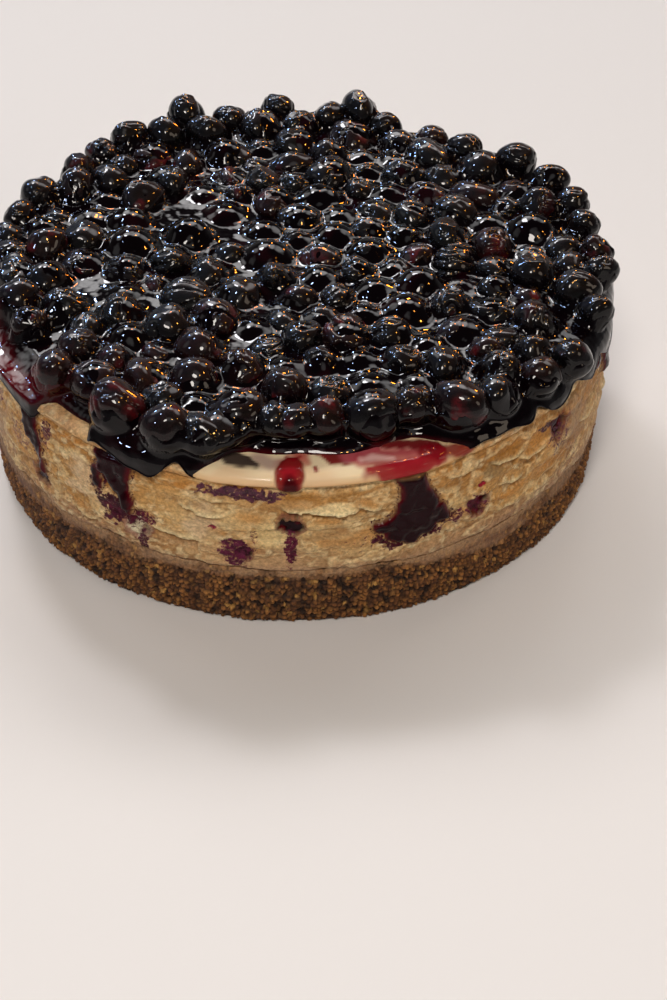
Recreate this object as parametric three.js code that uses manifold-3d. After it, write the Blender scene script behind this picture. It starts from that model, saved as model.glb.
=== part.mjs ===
// A baked blueberry cheesecake, 20 cm across, whole and uncut.
// Three layers run through it: a pressed biscuit-crumb base, the baked cheese filling,
// and a heap of cooked berries in their own syrup, which runs over the rim in places.
// Millimetres, +Z up. The origin is the centre of the flat underside, and -Y is the front.
// Angles are in degrees round the cake, 0 at the front and growing towards +X.

import * as THREE from "three";
import { mergeVertices } from "three/addons/utils/BufferGeometryUtils.js";
import Module from "manifold-3d";

// Driving sizes
const TIN_RADIUS = 100;
const BASE_HEIGHT = 21.5;
const CAKE_TOP = 58.5;
const SYRUP_DEPTH = 7.5;
const LAYER_GAP = 0.3;

// The base stands a little inside the tin's radius at its foot, where crumbs have fallen off.
const FOOT_RADIUS = TIN_RADIUS - 1.6;
const FOOT_CHAMFER = 1.2;
const BASE_RADIUS = TIN_RADIUS - 0.8;
const CRUMB_CRAG = 0.55;

// The line between base and filling wavers outside this radius and lies level inside it.
const LEVEL_RADIUS = 80;
const SEAM_WAVER = 0.7;

// The filling bulges slightly and ends in a rounded lip.
const BULGE = 0.7;
const LIP_DROP = 4.2;
const LIP_PROUD = 0.9;
const LIP_WIDTH = 9;
const TEAR_RELIEF = 0.45;

// The syrup's edge, where it hangs over the rim and where it stops short of it.
const SYRUP_LEVEL = CAKE_TOP + SYRUP_DEPTH;
const OVERHANG_RADIUS = TIN_RADIUS + 2.6;
const HANG_DEPTH = 2.7;
const BARE_RADIUS = TIN_RADIUS - 9.5;

const TURN_SEGMENTS = 72;
const SMALLEST_DETAIL = 0.2;
const FULL_TURN = 360;
const BERRY_SEED = 2024;
const RELIEF_SEED = 77;

// Stretches where the syrup stops short of the rim: centre and half width in degrees,
// and how far it draws back, 1 being all the way to the bare radius.
const bareStretches = [
  { at: 8, half: 21, pull: 1 },
  { at: -41.5, half: 5, pull: 0.5 },
  { at: -149, half: 5, pull: 0.45 },
];

// Stretches where the syrup barely hangs over the rim.
const shallowStretches = [
  { at: 50, half: 22 },
  { at: -100, half: 14 },
  { at: 174, half: 8 },
];

// Stretches where the syrup is thin at the rim and the berries keep away from it.
const thinStretches = [
  { at: -74, half: 27 },
  { at: 154, half: 10 },
];
const THIN_SYRUP = 1.2;
const THIN_INSET = 6.5;

// Berries that burst in the oven and left a pit in the side: angle, height, radius and depth.
const burstBerries = [
  { at: -27, high: 30, radius: 5, deep: 1.6 },
  { at: -9.5, high: 28, radius: 4.5, deep: 1.3 },
  { at: 0, high: 39.5, radius: 3.6, deep: 1.5 },
  { at: 33.5, high: 35.5, radius: 4, deep: 1.7 },
  { at: 54, high: 46, radius: 5, deep: 1.6 },
  { at: -50, high: 31, radius: 4, deep: 1.2 },
];
const BACK_BURSTS = 9;

// Thick syrup that ran down the side: angle, lowest point, half widths of the neck and of the
// foot, thickness, and how far the foot lies to one side.
const syrupRuns = [
  { at: -51, low: 32, neck: 3, foot: 3, thick: 1.3, slant: 3 },
  { at: -29.8, low: 34.5, neck: 5.4, foot: 6.2, thick: 2, slant: 1 },
  { at: 20, low: 30.5, neck: 6.4, foot: 11, thick: 2, slant: -0.5 },
  { at: 76, low: 41, neck: 3.4, foot: 4, thick: 1.6, slant: 1 },
  { at: 112, low: 33, neck: 4.6, foot: 6, thick: 1.8, slant: 2 },
  { at: -120, low: 36, neck: 4.4, foot: 5.4, thick: 1.8, slant: -2 },
  { at: -176, low: 41, neck: 3.6, foot: 4.4, thick: 1.6, slant: 1 },
];

// Flakes and ledges of torn crust that stand out of the side: angle, height and half width.
const crustFlakes = [
  { at: 5, high: 45, half: 8 },
  { at: -15, high: 43, half: 6 },
  { at: 13.5, high: 46.5, half: 3 },
  { at: -37, high: 28, half: 4 },
  { at: 44, high: 49, half: 5 },
  { at: 41, high: 38, half: 4 },
];
const BACK_FLAKES = 8;

// Half height and thickness of a flake, half height of a run's foot, and how far above the
// cake's top a run's neck would end if the syrup's edge didn't cut it off.
const FLAKE_TALL = 1.3;
const FLAKE_THICK = 0.8;
const FOOT_TALL = 5;
const NECK_RISE = 6;
const BEAD_SINK = 1;

// The berries of the rim: angle, distance from the middle, diameter, and how much higher than the
// others of the rim a few of them lie.
const rimBerries = [
  { at: -31.7, out: 94, wide: 17.5 },
  { at: -21, out: 93, wide: 15.5 },
  { at: -9.2, out: 84, wide: 17 },
  { at: -1.6, out: 69, wide: 13.5 },
  { at: 6.8, out: 83.5, wide: 12.5 },
  { at: 16.4, out: 84.5, wide: 16.5 },
  { at: 25.1, out: 84, wide: 12.5 },
  { at: 31.8, out: 91.5, wide: 15.5 },
  { at: 40.3, out: 93, wide: 13 },
  { at: 48.7, out: 95, wide: 12.5 },
  { at: 57.2, out: 96, wide: 14 },
  { at: 76.7, out: 96.5, wide: 12 },
  { at: 86.3, out: 97.5, wide: 10.5 },
  { at: 93, out: 97, wide: 11 },
  { at: 103, out: 96.5, wide: 11 },
  { at: 110.4, out: 97.5, wide: 11.5 },
  { at: 119.2, out: 97.5, wide: 12.5, lift: 1 },
  { at: 129.1, out: 96.5, wide: 13, lift: 1 },
  { at: 140.4, out: 90, wide: 12.5 },
  { at: 167.3, out: 96, wide: 13.5, lift: 1.5 },
  { at: 173.5, out: 91.5, wide: 11.5 },
  { at: -175.5, out: 95, wide: 12, lift: 1.5 },
  { at: -164.8, out: 92.5, wide: 12 },
  { at: -156.2, out: 97.5, wide: 13, lift: 2.5 },
  { at: -142.4, out: 96, wide: 12.5 },
  { at: -134.5, out: 94, wide: 11 },
  { at: -126.5, out: 92, wide: 11.5 },
  { at: -114.5, out: 94, wide: 12.5 },
  { at: -105.4, out: 93.5, wide: 11 },
  { at: -97, out: 93, wide: 10.5 },
];
const RIM_BERRY_RISE = 1.4;

// The rest are scattered over the top and then pushed apart until they lie side by side.
const LOOSE_BERRIES = 150;
const SMALLEST_BERRY = 10.5;
const LARGEST_BERRY = 16.5;
const SETTLE_ROUNDS = 90;
const BERRY_CLOSENESS = 0.97;
const RIM_ROW = 12;
const RIM_RISE = 0.8;
const INNER_RISE = -0.6;
const RISE_SPREAD = 2.4;
const FLATTEST = 0.78;

// A berry's outline as shares of its radius: how far out and how high.
const berryOutline = [
  [0, -0.7],
  [0.96, 0],
  [0.76, 0.7],
  [0, 1],
];
const BERRY_SIDES = 5;

const radians = THREE.MathUtils.degToRad;

const wasm = await Module();
wasm.setup();

// A repeatable stream of numbers from 0 to 1.
function makeDraw(seed) {
  let state = seed;
  return () => {
    state = (state * 48271) % 2147483647;
    return state / 2147483647;
  };
}

// Uneven relief that closes on itself round the cake: waves with drawn phases.
function makeRelief(seed, waveCount, slowest, fastest, rise) {
  const draw = makeDraw(seed);
  const waves = [];
  for (let i = 0; i < waveCount; i++) {
    const turns = Math.round(slowest + (fastest - slowest) * draw());
    waves.push({ turns, climb: (draw() * 2 - 1) * rise, phase: draw() * 2 * Math.PI });
  }
  const share = 1 / Math.sqrt(waveCount);
  return (angle, height) =>
    share * waves.reduce((sum, w) => sum + Math.sin(w.turns * angle + w.climb * height + w.phase), 0);
}

const tears = makeRelief(RELIEF_SEED, 9, 5, 26, 3.5);
const seam = makeRelief(RELIEF_SEED + 2, 5, 3, 17, 0);
const edgeWander = makeRelief(RELIEF_SEED + 3, 6, 4, 23, 0);
const hangWander = makeRelief(RELIEF_SEED + 4, 6, 6, 19, 0);

// Uneven relief with no run in any direction, from -1 to 1, as crumbs have.
function crags(angle, height) {
  const scrambled = Math.sin(angle * 127.1 + height * 311.7) * 43758.5;
  return 2 * (scrambled - Math.floor(scrambled)) - 1;
}

function smoothStep(from, to, value) {
  const t = Math.min(1, Math.max(0, (value - from) / (to - from)));
  return t * t * (3 - 2 * t);
}

// The difference between two angles in degrees, from -180 to 180.
function turnBetween(a, b) {
  return ((((a - b + 180) % FULL_TURN) + FULL_TURN) % FULL_TURN) - 180;
}

// 1 in the middle of a stretch of the rim, 0 outside it.
function within(stretch, degrees) {
  return 1 - smoothStep(stretch.half * 0.7, stretch.half * 1.2, Math.abs(turnBetween(degrees, stretch.at)));
}

// How far the syrup's edge has drawn back from the rim: 0 where it hangs over it, 1 at the most.
function bareness(degrees) {
  return Math.max(...bareStretches.map((s) => s.pull * within(s, degrees)));
}

function thinness(degrees) {
  return Math.max(...thinStretches.map((s) => within(s, degrees)));
}

// Height of the line where the filling meets the base, at the rim.
function seamHeight(angle) {
  return BASE_HEIGHT + SEAM_WAVER * seam(angle, 0);
}

// The bursts that are placed, and more of them round the back.
function allBursts() {
  const draw = makeDraw(RELIEF_SEED + 5);
  const back = [];
  for (let i = 0; i < BACK_BURSTS; i++) {
    back.push({
      at: 82 + (200 * (i + 0.7 * draw())) / BACK_BURSTS,
      high: 27 + 20 * draw(),
      radius: 3.4 + 1.8 * draw(),
      deep: 1.1 + 0.6 * draw(),
    });
  }
  return [...burstBerries, ...back];
}

// A turned body whose profile may change with the angle. profileAt gives [radius, height] pairs,
// from the axis at the bottom, out and up, to the axis at the top.
function turned(profileAt) {
  const blank = profileAt(0, 0).map(([radius, height]) => new THREE.Vector2(radius, height));
  const geometry = new THREE.LatheGeometry(blank, TURN_SEGMENTS);
  const position = geometry.getAttribute("position");
  for (let i = 0; i <= TURN_SEGMENTS; i++) {
    const turn = i % TURN_SEGMENTS;
    const degrees = (turn / TURN_SEGMENTS) * FULL_TURN;
    const angle = radians(degrees);
    profileAt(degrees, angle).forEach(([radius, height], j) => {
      const at = i * blank.length + j;
      position.setXYZ(at, radius * Math.sin(angle), -radius * Math.cos(angle), height);
    });
  }
  return geometry;
}

function solidFrom(geometry) {
  const bare = geometry.clone();
  bare.deleteAttribute("normal");
  bare.deleteAttribute("uv");
  const merged = mergeVertices(bare, 1e-3);
  return new wasm.Manifold(
    new wasm.Mesh({
      numProp: 3,
      vertProperties: new Float32Array(merged.getAttribute("position").array),
      triVerts: new Uint32Array(merged.index.array),
    }),
  );
}

function geometryFrom(solid) {
  const mesh = solid.getMesh();
  const position = new THREE.BufferAttribute(new Float32Array(mesh.vertProperties), 3);
  const geometry = new THREE.BufferGeometry().setAttribute("position", position);
  return geometry.setIndex(new THREE.BufferAttribute(mesh.triVerts, 1));
}

// The largest of a solid's separate bodies: cutting can leave a loose scrap.
function largestOf(solid) {
  const bodies = solid.decompose();
  return bodies.reduce((best, body) => (body.volume() > best.volume() ? body : best));
}

// The biscuit base: a pressed disc with a craggy crumb side.
function baseProfile(degrees, angle) {
  const crag = (height) => CRUMB_CRAG * crags(angle, height);
  const seamAt = seamHeight(angle);
  const side = [FOOT_CHAMFER, 6, 11, 16].map((height) => {
    const flare = (BASE_RADIUS - FOOT_RADIUS) * smoothStep(0, 9, height);
    return [FOOT_RADIUS + flare + crag(height), height];
  });
  return [
    [0, 0],
    [FOOT_RADIUS - FOOT_CHAMFER, 0],
    ...side,
    [BASE_RADIUS + 0.4 * crag(seamAt), seamAt],
    [LEVEL_RADIUS, BASE_HEIGHT],
    [0, BASE_HEIGHT],
  ];
}

// The side of the filling, with its tears.
function sideRadius(angle, height) {
  const share = (height - BASE_HEIGHT) / (CAKE_TOP - BASE_HEIGHT);
  const bulge = BULGE * Math.sin(Math.PI * Math.min(1, share));
  return TIN_RADIUS + bulge + TEAR_RELIEF * tears(angle, height);
}

// The filling, grown outwards by a margin to cut what lies on it.
function fillingProfile(grow) {
  return (degrees, angle) => {
    const foot = seamHeight(angle);
    const lip = CAKE_TOP - LIP_DROP;
    const side = [26, 31, 36.5, 42, 48].map((height) => [sideRadius(angle, height) + grow, height]);
    return [
      [0, BASE_HEIGHT + LAYER_GAP],
      [LEVEL_RADIUS, BASE_HEIGHT + LAYER_GAP],
      [TIN_RADIUS - 0.2 + grow, foot + LAYER_GAP],
      ...side,
      [TIN_RADIUS + LIP_PROUD + grow, lip],
      [TIN_RADIUS - 0.3 + grow, lip + 0.62 * LIP_DROP + grow],
      [TIN_RADIUS - 0.45 * LIP_WIDTH, CAKE_TOP - 0.2 + grow],
      [TIN_RADIUS - 1.5 * LIP_WIDTH, CAKE_TOP + grow],
      [0, CAKE_TOP + grow],
    ];
  };
}

// The lowest height that the syrup's edge reaches.
function hangHeight(degrees, angle) {
  const shallow = Math.max(...shallowStretches.map((s) => within(s, degrees)));
  const hang = (HANG_DEPTH + 1.2 * hangWander(angle, 0)) * (1 - 0.75 * shallow);
  return CAKE_TOP - 2 - hang * (1 - smoothStep(0, 0.3, bareness(degrees)));
}

// The outline of the syrup, which also takes in the top of the cake: the filling is cut from it.
function syrupProfile(degrees, angle) {
  const bare = bareness(degrees);
  const wander = edgeWander(angle, 0);
  const edge = OVERHANG_RADIUS + 0.35 * wander + bare * (BARE_RADIUS - OVERHANG_RADIUS + 1.6 * wander);
  const low = hangHeight(degrees, angle);
  const thin = thinness(degrees);
  const depth = (full, least) => CAKE_TOP + full + thin * (least - full);
  return [
    [0, CAKE_TOP - 3],
    [edge - 6, CAKE_TOP - 3],
    [edge - 0.9, low + bare * 0.8],
    [edge, low + 1.6],
    [edge - 0.7 - 0.8 * bare, depth(3.4, 0.6 * THIN_SYRUP)],
    [edge - 4.5, depth(SYRUP_DEPTH - 1.5, THIN_SYRUP)],
    [edge - 11, depth(SYRUP_DEPTH - 0.5, 0.6 * SYRUP_DEPTH)],
    [0, SYRUP_LEVEL],
  ];
}

// How far out a berry of a given radius may sit.
function berryLimit(degrees, berryRadius) {
  const edge = OVERHANG_RADIUS + bareness(degrees) * (BARE_RADIUS - OVERHANG_RADIUS);
  return edge - THIN_INSET * thinness(degrees) - berryRadius * 0.95;
}

function placeOf(berry) {
  return { out: Math.hypot(berry.x, berry.y), degrees: Math.atan2(berry.x, -berry.y) / radians(1) };
}

function scatterBerries(draw) {
  const berries = rimBerries.map((b) => ({
    x: b.out * Math.sin(radians(b.at)),
    y: -b.out * Math.cos(radians(b.at)),
    radius: b.wide / 2,
    lift: b.lift ?? 0,
    fixed: true,
  }));
  for (let i = 0; i < LOOSE_BERRIES; i++) {
    const out = (TIN_RADIUS - 8) * Math.sqrt(draw());
    const angle = radians(FULL_TURN * draw());
    const wide = SMALLEST_BERRY + (LARGEST_BERRY - SMALLEST_BERRY) * draw();
    berries.push({ x: out * Math.sin(angle), y: -out * Math.cos(angle), radius: wide / 2, fixed: false });
  }
  return berries;
}

// One round of pushing berries that overlap apart, and back inside the rim.
function settle(berries) {
  const pushes = berries.map((a) => {
    const push = { x: 0, y: 0 };
    for (const b of berries) {
      if (a === b) continue;
      const apart = Math.hypot(a.x - b.x, a.y - b.y);
      const overlap = BERRY_CLOSENESS * (a.radius + b.radius) - apart;
      if (overlap <= 0) continue;
      const share = (b.fixed ? 0.9 : 0.45) * (overlap / apart);
      push.x += share * (a.x - b.x);
      push.y += share * (a.y - b.y);
    }
    return push;
  });
  berries.forEach((berry, i) => {
    if (berry.fixed) return;
    berry.x += pushes[i].x;
    berry.y += pushes[i].y;
    const { out, degrees } = placeOf(berry);
    const limit = berryLimit(degrees, berry.radius);
    if (out <= limit) return;
    berry.x *= limit / out;
    berry.y *= limit / out;
  });
}

// Every berry of the heap as { x, y, z, radius, flat, turn }. The outermost stand proud.
function placeBerries() {
  const draw = makeDraw(BERRY_SEED);
  const berries = scatterBerries(draw);
  for (let i = 0; i < SETTLE_ROUNDS; i++) settle(berries);
  for (const berry of berries) {
    const { out, degrees } = placeOf(berry);
    const rise = out > berryLimit(degrees, berry.radius) - RIM_ROW ? RIM_RISE : INNER_RISE;
    const loose = () => rise + RISE_SPREAD * (draw() - 0.5);
    berry.z = SYRUP_LEVEL + (berry.fixed ? RIM_BERRY_RISE + berry.lift : loose());
    berry.flat = berry.fixed ? 0.95 : FLATTEST + (1 - FLATTEST) * draw();
    berry.turn = draw() * FULL_TURN;
  }
  return berries;
}

// A berry: a five-sided dome on a point that stands in the syrup.
function berrySolid(berry) {
  const outline = berryOutline.map((point) => new THREE.Vector2(...point).multiplyScalar(berry.radius));
  const geometry = new THREE.LatheGeometry(outline, BERRY_SIDES);
  geometry.rotateX(Math.PI / 2);
  geometry.rotateZ(radians(berry.turn));
  geometry.scale(1, 1, berry.flat);
  geometry.translate(berry.x, berry.y, berry.z);
  return solidFrom(geometry);
}

// The pit of a burst berry, to be cut from the side.
function pitSolid(burst) {
  const geometry = new THREE.SphereGeometry(burst.radius, 6, 4);
  geometry.scale(1, burst.deep / burst.radius, 1);
  geometry.translate(0, -(TIN_RADIUS + BULGE), burst.high);
  geometry.rotateZ(radians(burst.at));
  return solidFrom(geometry);
}

// A flat bead on the side: half width, half height and thickness, at an angle and a height.
function beadSolid({ at, high, half, tall, thick, shift = 0, sides = 6 }) {
  const geometry = new THREE.SphereGeometry(1, sides, 6);
  geometry.scale(half, thick + BEAD_SINK, tall);
  geometry.translate(shift, -(TIN_RADIUS + BULGE - BEAD_SINK), high);
  geometry.rotateZ(radians(at));
  return solidFrom(geometry);
}

// Everything above the syrup's lower edge, to cut off the tops of the runs that hang from it.
function curtainProfile(degrees, angle) {
  const low = hangHeight(degrees, angle) - LAYER_GAP;
  const out = OVERHANG_RADIUS + 5;
  return [
    [0, CAKE_TOP - LIP_DROP],
    [TIN_RADIUS - LIP_WIDTH, low],
    [out, low],
    [out, SYRUP_LEVEL + LIP_DROP],
    [0, SYRUP_LEVEL + LIP_DROP],
  ];
}

// A run of syrup: a long neck from the rim and a wider foot.
function runSolid(run) {
  const { at, thick, slant } = run;
  const top = CAKE_TOP + NECK_RISE;
  const bottom = run.low + FOOT_TALL / 2;
  const neck = beadSolid({ at, thick, high: (top + bottom) / 2, tall: (top - bottom) / 2, half: run.neck });
  const round = { high: run.low + FOOT_TALL, tall: FOOT_TALL, half: run.foot, shift: slant };
  const foot = beadSolid({ at, thick, ...round });
  return neck.add(foot);
}

// The flakes that are placed, and more of them round the back.
function flakeSolids() {
  const draw = makeDraw(RELIEF_SEED + 6);
  const back = [];
  for (let i = 0; i < BACK_FLAKES; i++) {
    const at = 84 + (195 * (i + 0.8 * draw())) / BACK_FLAKES;
    back.push({ at, high: 28 + 21 * draw(), half: 3.5 + 4 * draw() });
  }
  const shape = { tall: FLAKE_TALL, thick: FLAKE_THICK, sides: 4 };
  return [...crustFlakes, ...back].map((flake) => beadSolid({ ...flake, ...shape }));
}

function addUp(solids) {
  return solids.reduce((all, solid) => all.add(solid));
}

function makeMesh(name, geometry, colour, roughness) {
  const material = new THREE.MeshStandardMaterial({ color: colour, roughness, metalness: 0 });
  const mesh = new THREE.Mesh(geometry, material);
  mesh.name = name;
  return mesh;
}

function makeBase() {
  return makeMesh("biscuit_base", turned(baseProfile), 0x8a5a33, 0.85);
}

function makeFilling() {
  const curtain = solidFrom(turned(curtainProfile));
  const raised = addUp([...syrupRuns.map(runSolid), ...flakeSolids()]).subtract(curtain);
  const pits = addUp(allBursts().map(pitSolid));
  const body = solidFrom(turned(fillingProfile(0))).subtract(pits);
  const filling = largestOf(body.add(raised)).simplify(SMALLEST_DETAIL);
  return makeMesh("baked_filling", geometryFrom(filling), 0xd2a871, 0.55);
}

function makeCompote() {
  const syrup = solidFrom(turned(syrupProfile));
  const heap = addUp([syrup, ...placeBerries().map(berrySolid)]);
  const under = solidFrom(turned(fillingProfile(LAYER_GAP)));
  const compote = largestOf(heap.subtract(under)).simplify(SMALLEST_DETAIL);
  return makeMesh("berry_compote", geometryFrom(compote), 0x170a12, 0.12);
}

const cheesecake = new THREE.Group();
cheesecake.add(makeBase(), makeFilling(), makeCompote());

export default cheesecake;
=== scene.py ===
import math

import bmesh
import bpy
import numpy as np
from mathutils import Matrix, Vector


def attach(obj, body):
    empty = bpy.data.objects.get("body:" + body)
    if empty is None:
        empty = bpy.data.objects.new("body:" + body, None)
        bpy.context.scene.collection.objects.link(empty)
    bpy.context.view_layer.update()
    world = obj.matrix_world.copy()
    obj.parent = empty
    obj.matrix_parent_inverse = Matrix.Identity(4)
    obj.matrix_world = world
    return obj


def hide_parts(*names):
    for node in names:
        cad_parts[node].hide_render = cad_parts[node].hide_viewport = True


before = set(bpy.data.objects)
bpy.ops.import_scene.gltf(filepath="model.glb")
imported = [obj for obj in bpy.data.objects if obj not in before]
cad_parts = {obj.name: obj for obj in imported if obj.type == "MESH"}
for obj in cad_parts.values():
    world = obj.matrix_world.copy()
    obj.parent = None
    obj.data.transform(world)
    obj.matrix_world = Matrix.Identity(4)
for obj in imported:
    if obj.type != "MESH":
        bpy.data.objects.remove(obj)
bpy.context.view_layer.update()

# A baked blueberry cheesecake, 20 cm across. Sizes below are in mm and angles in degrees round
# the cake: 0 is the front (-Y), and they grow towards +X.
mm = 0.001

cake = {
    "sideRadius": 100.0,
    "baseHeight": 21.5,
    "top": 58.5,
    "syrupLevel": 66.0,
    "seamWaver": 0.7,
    "bulge": 0.7,
    "reliefSeed": 77,
}


# Small tools

def makeDraw(seed):  # a repeatable stream of numbers from 0 to 1
    state = [seed]

    def draw():
        state[0] = (state[0] * 48271) % 2147483647
        return state[0] / 2147483647

    return draw


def makeWaves(seed, waveCount, slowest, fastest):  # uneven waves that close on themselves
    draw = makeDraw(seed)
    waves = []
    for i in range(waveCount):
        turns = math.floor(slowest + (fastest - slowest) * draw() + 0.5)
        draw()  # not used, and keeps the later numbers as they are
        waves.append((turns, draw() * 2 * math.pi))

    def waveAt(degrees):
        angle = np.radians(degrees)
        return sum(np.sin(turns * angle + phase) for turns, phase in waves) / math.sqrt(waveCount)

    return waveAt


def ease(low, high, value):  # 0 below low, 1 above high, smooth between
    t = np.clip((np.asarray(value, float) - low) / (high - low), 0, 1)
    return t * t * (3 - 2 * t)


def turnBetween(a, b):
    return (np.asarray(a, float) - b + 180) % 360 - 180


def hashUnit(cells, seed):  # a number from 0 to 1 for each whole-numbered cell
    n = cells[..., 0] * 73856093 ^ cells[..., 1] * 19349663 ^ cells[..., 2] * 83492791 ^ (seed * 40503 + 977)
    n = (n ^ (n >> 13)) * 1274126177
    n = (n ^ (n >> 15)) * 668265263
    return ((n ^ (n >> 16)) & 0xFFFFFF) / 0xFFFFFF


def softNoise(points, cell, seed):  # smooth unevenness from -1 to 1 in lumps of that size
    q = points / np.asarray(cell, float)
    low = np.floor(q).astype(np.int64)
    f = q - low
    f = f * f * (3 - 2 * f)
    total = np.zeros(len(points))
    for corner in range(8):
        step = np.array([corner & 1, corner >> 1 & 1, corner >> 2 & 1])
        weight = np.prod(np.where(step, f, 1 - f), axis=1)
        total += weight * hashUnit(low + step, seed)
    return total * 2 - 1


# Packed grains: the distance to a grain's middle, to the gap beside it, and a number for each grain.
def grainField(points, cell, seed):
    q = points / np.asarray(cell, float)
    low = np.floor(q).astype(np.int64)
    nearest = np.full(len(points), 9.0)
    second = np.full(len(points), 9.0)
    tag = np.zeros(len(points))
    for i in range(27):
        at = low + np.array([i % 3 - 1, i // 3 % 3 - 1, i // 9 - 1])
        middle = at + 0.15 + 0.7 * np.stack([hashUnit(at, seed + k) for k in range(3)], axis=1)
        away = np.linalg.norm(q - middle, axis=1)
        closer = away < nearest
        second = np.where(closer, nearest, np.minimum(second, away))
        tag = np.where(closer, hashUnit(at, seed + 7), tag)
        nearest = np.where(closer, away, nearest)
    return nearest, second - nearest, tag


def linear(hexColour):  # sRGB hex to the linear values that Blender works in
    parts = [int(hexColour[i:i + 2], 16) / 255 for i in (1, 3, 5)]
    return np.array([c / 12.92 if c <= 0.04045 else ((c + 0.055) / 1.055) ** 2.4 for c in parts])


def blendIn(colours, hexColour, share):  # colours moved towards one colour by a share for each point
    return colours + (linear(hexColour) - colours) * np.clip(share, 0, 1)[:, None]


def newObject(name, bm):
    mesh = bpy.data.meshes.new(name)
    bm.to_mesh(mesh)
    bm.free()
    piece = bpy.data.objects.new(name, mesh)
    bpy.context.scene.collection.objects.link(piece)
    return piece


def readPoints(mesh):
    flat = np.empty(len(mesh.vertices) * 3)
    mesh.vertices.foreach_get("co", flat)
    return flat.reshape(-1, 3) / mm


def readNormals(mesh):
    flat = np.empty(len(mesh.vertices) * 3)
    mesh.vertex_normals.foreach_get("vector", flat)
    return flat.reshape(-1, 3)


def writePoints(mesh, points):
    mesh.vertices.foreach_set("co", (points * mm).ravel())
    mesh.update()


def paint(mesh, name, values):  # one value or one colour for each vertex
    if values.ndim == 1:
        mesh.attributes.new(name, "FLOAT", "POINT").data.foreach_set("value", values.astype(np.float32))
        return
    rgba = np.concatenate([np.clip(values, 0, 1), np.ones((len(values), 1))], axis=1)
    colourData = mesh.attributes.new(name, "FLOAT_COLOR", "POINT").data
    colourData.foreach_set("color", rgba.astype(np.float32).ravel())


def polar(points):  # degrees round the cake and distance from its middle
    return np.degrees(np.arctan2(points[:, 0], -points[:, 1])), np.hypot(points[:, 0], points[:, 1])


def smoothShade(mesh):
    mesh.polygons.foreach_set("use_smooth", np.ones(len(mesh.polygons), bool))


# A closed turned body from (radius, height) points, bottom to top.
def spinProfile(name, profile, steps, sectors=20):
    bm = bmesh.new()
    verts = [bm.verts.new((0, -radius * mm, height * mm)) for radius, height in profile]
    edges = [bm.edges.new(pair) for pair in zip(verts, verts[1:])]
    sector = 2 * math.pi / sectors
    turn = {"cent": (0, 0, 0), "axis": (0, 0, 1), "dvec": (0, 0, 0)}
    bmesh.ops.spin(bm, geom=verts + edges, angle=sector, steps=steps // sectors, use_duplicate=False, **turn)
    bmesh.ops.spin(bm, geom=bm.verts[:] + bm.edges[:] + bm.faces[:], angle=sector * (sectors - 1),
                   steps=sectors - 1, use_duplicate=True, **turn)
    bmesh.ops.remove_doubles(bm, verts=bm.verts, dist=2e-6)
    bmesh.ops.recalc_face_normals(bm, faces=bm.faces)
    piece = newObject(name, bm)
    smoothShade(piece.data)
    return piece


def finishPiece(piece, slot, *nodes):
    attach(piece, "root")
    if nodes:
        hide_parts(*nodes)
    print(piece.name, len(piece.data.vertices), "vertices", len(piece.data.polygons), "faces")


# Materials

def addNode(tree, kind, settings=None, links=None):  # a node with its settings, fed by the named links
    node = tree.nodes.new(kind)
    for name, value in (settings or {}).items():
        if isinstance(name, int) or name in node.inputs:
            node.inputs[name].default_value = value
        else:
            setattr(node, name, value)
    for name, source in (links or {}).items():
        tree.links.new(source, node.inputs[name])
    return node


def newMaterial(name, settings):
    material = bpy.data.materials.new(name)
    material.use_nodes = True
    shader = material.node_tree.nodes["Principled BSDF"]
    for socket, value in settings.items():
        shader.inputs[socket].default_value = value
    return material, material.node_tree, shader


def mottled(tree, coordinates, scaleMm, colour, low, high):  # a colour made lighter and darker in lumps
    lumps = addNode(tree, "ShaderNodeTexNoise",
                    {"Scale": 1 / (scaleMm * mm), "Detail": 4.0, "Roughness": 0.6}, {"Vector": coordinates})
    share = addNode(tree, "ShaderNodeMapRange",
                    {"From Min": 0.3, "From Max": 0.7, "To Min": low, "To Max": high},
                    {"Value": lumps.outputs["Fac"]})
    return addNode(tree, "ShaderNodeVectorMath", {"operation": "SCALE"},
                   {0: colour, "Scale": share.outputs["Result"]}).outputs["Vector"]


crumbFinish = {"roughness": 0.74, "specular": 0.4, "grainMm": 0.8, "bumpMm": 0.2}


# Pressed biscuit crumb and butter: dull, brown, with dark gaps and a faint greasy shine.
def makeCrumbMaterial():
    material, tree, shader = newMaterial("pressedBiscuitCrumb", {
        "Roughness": crumbFinish["roughness"], "IOR": 1.46, "Specular IOR Level": crumbFinish["specular"]})
    place = addNode(tree, "ShaderNodeTexCoord").outputs["Object"]
    tone = addNode(tree, "ShaderNodeAttribute", {"attribute_name": "crumbTone"}).outputs["Color"]
    mixed = mottled(tree, place, crumbFinish["grainMm"], tone, 0.62, 1.4)
    tree.links.new(mixed, shader.inputs["Base Color"])
    grit = addNode(tree, "ShaderNodeTexNoise",
                   {"Scale": 1 / (crumbFinish["grainMm"] * 0.7 * mm), "Detail": 3.0}, {"Vector": place})
    bump = addNode(tree, "ShaderNodeBump", {"Strength": 0.9, "Distance": crumbFinish["bumpMm"] * mm},
                   {"Height": grit.outputs["Fac"]})
    tree.links.new(bump.outputs["Normal"], shader.inputs["Normal"])
    return material


cheeseFinish = {"fleckMm": 1.1, "speckMm": 0.9, "grainMm": 0.8, "bumpMm": 0.5, "flat": 1.3}


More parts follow.
